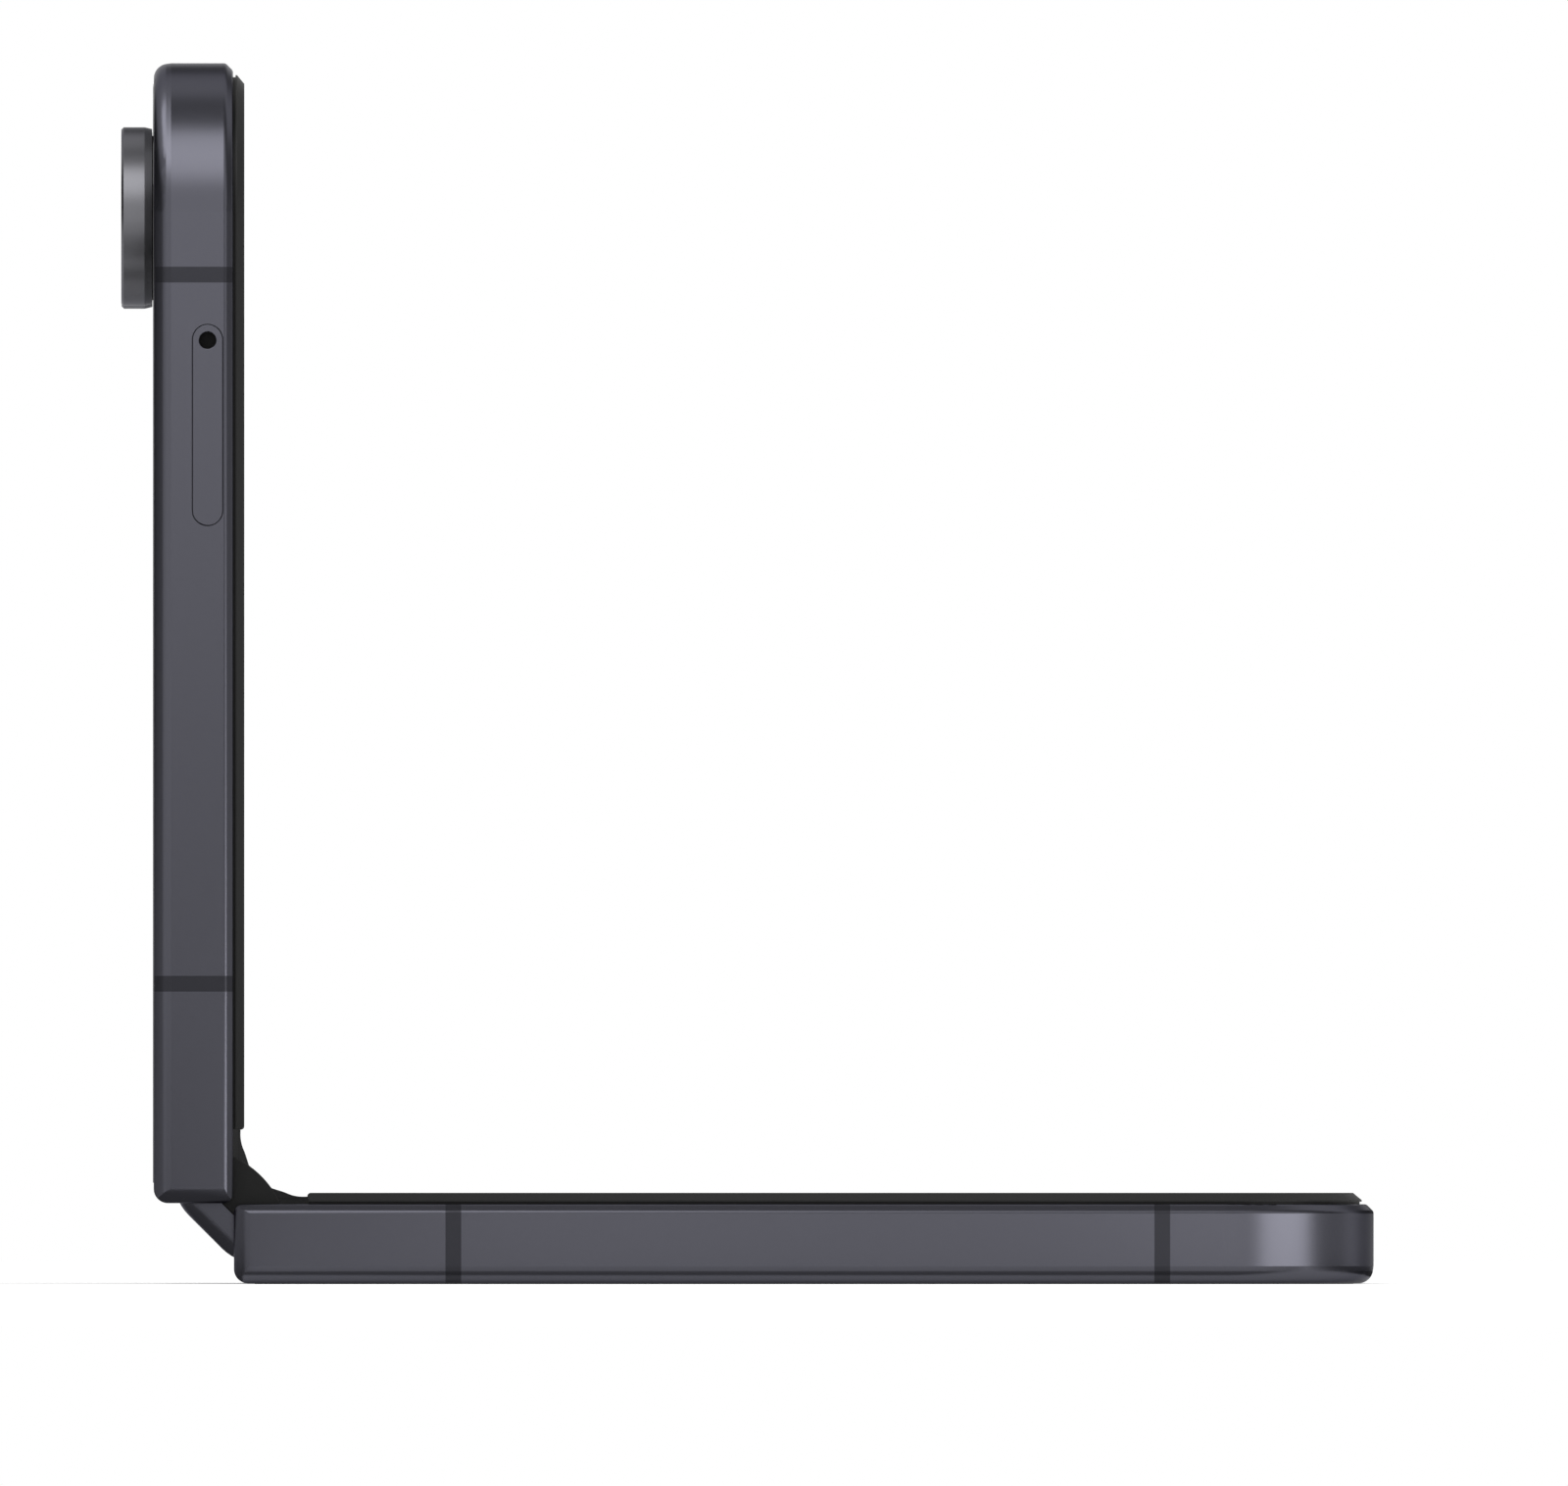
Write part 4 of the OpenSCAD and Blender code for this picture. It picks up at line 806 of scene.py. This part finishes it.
# %% Lay small cards on the floor
def floor_card(name, across, deep, level):
    """A rectangle 0.1 mm over the floor. across and deep say from where to where, in millimetres along x and y."""
    middle = ((across[0] + across[1]) / 2 * mm, (deep[0] + deep[1]) / 2 * mm, 0.1 * mm)
    sides = Matrix.Diagonal(((across[1] - across[0]) * mm, (deep[1] - deep[0]) * mm, 1, 1))
    mesh = bmesh.new()
    bmesh.ops.create_grid(mesh, x_segments=1, y_segments=1, size=0.5, matrix=Matrix.Translation(middle) @ sides)
    show_in_mirrors(name, mesh, level)


floor_card("rail_shade", across=(-41.5, 41.5), deep=(-39.9, -37.9), level=0.3)
floor_card("hinge_shade", across=(-62, -41), deep=(-60, -30), level=0.25)
floor_card("right_shade", across=(42, 52), deep=(-38, 0), level=0.1)
floor_card("ring_shade", across=(-86, -43), deep=(-210, -78), level=0.05)

# %% [markdown]
# ## Lamps
#
# One large soft lamp above the camera gives the light some direction and the phone its shadow. Five small ones stand
# near the phone. Two draw the bright bands round the corners of the rails, and three make the flats of the rails a
# little brighter towards the top and the right, as in the picture. They are low or edge on, so that the screens don't
# mirror them in other views.


# %% Hang the lamps
def lamp(name, place, width, height, level, mirrored=True, toward=(-0.01, 0, 0.035)):
    """A rectangular lamp that faces a point of the phone. level is its brightness, where 1 is white."""
    light = bpy.data.lights.new(name, "AREA")
    light.shape, light.size, light.size_y = "RECTANGLE", width, height
    light.energy = level * math.pi * width * height
    made = bpy.data.objects.new(name, light)
    made.location = place
    made.rotation_mode = "QUATERNION"
    made.rotation_quaternion = (Vector(place) - Vector(toward)).to_track_quat("Z", "Y")
    made.visible_camera = False
    made.visible_glossy = mirrored
    scene.collection.objects.link(made)
    print("lamp:", name, "size in mm:", round(width / mm), "x", round(height / mm), "level", level)


lamp("soft_key", (0.35, -0.9, 1.1), width=0.9, height=0.9, level=1.6, mirrored=False)
lamp("corner_glow", (-0.0445, -0.140, 0.187), width=0.07, height=0.112, level=2.1, toward=(-0.0445, -0.034, 0.08))
lamp("low_right_glow", (0.146, -0.136, 0.0125), width=0.112, height=0.022, level=6.0, toward=(0.036, -0.034, 0.003))
lamp("top_glow", (-0.045, -0.28, 0.118), width=0.1, height=0.12, level=1.25, toward=(-0.045, 0, 0.1))
lamp("right_glow", (0.028, -0.12, 0.009), width=0.113, height=0.016, level=0.7, toward=(0.028, 0, 0.009))
lamp("right_end_glow", (0.04, -0.118, 0.009), width=0.03, height=0.016, level=0.9, toward=(0.04, 0, 0.009))
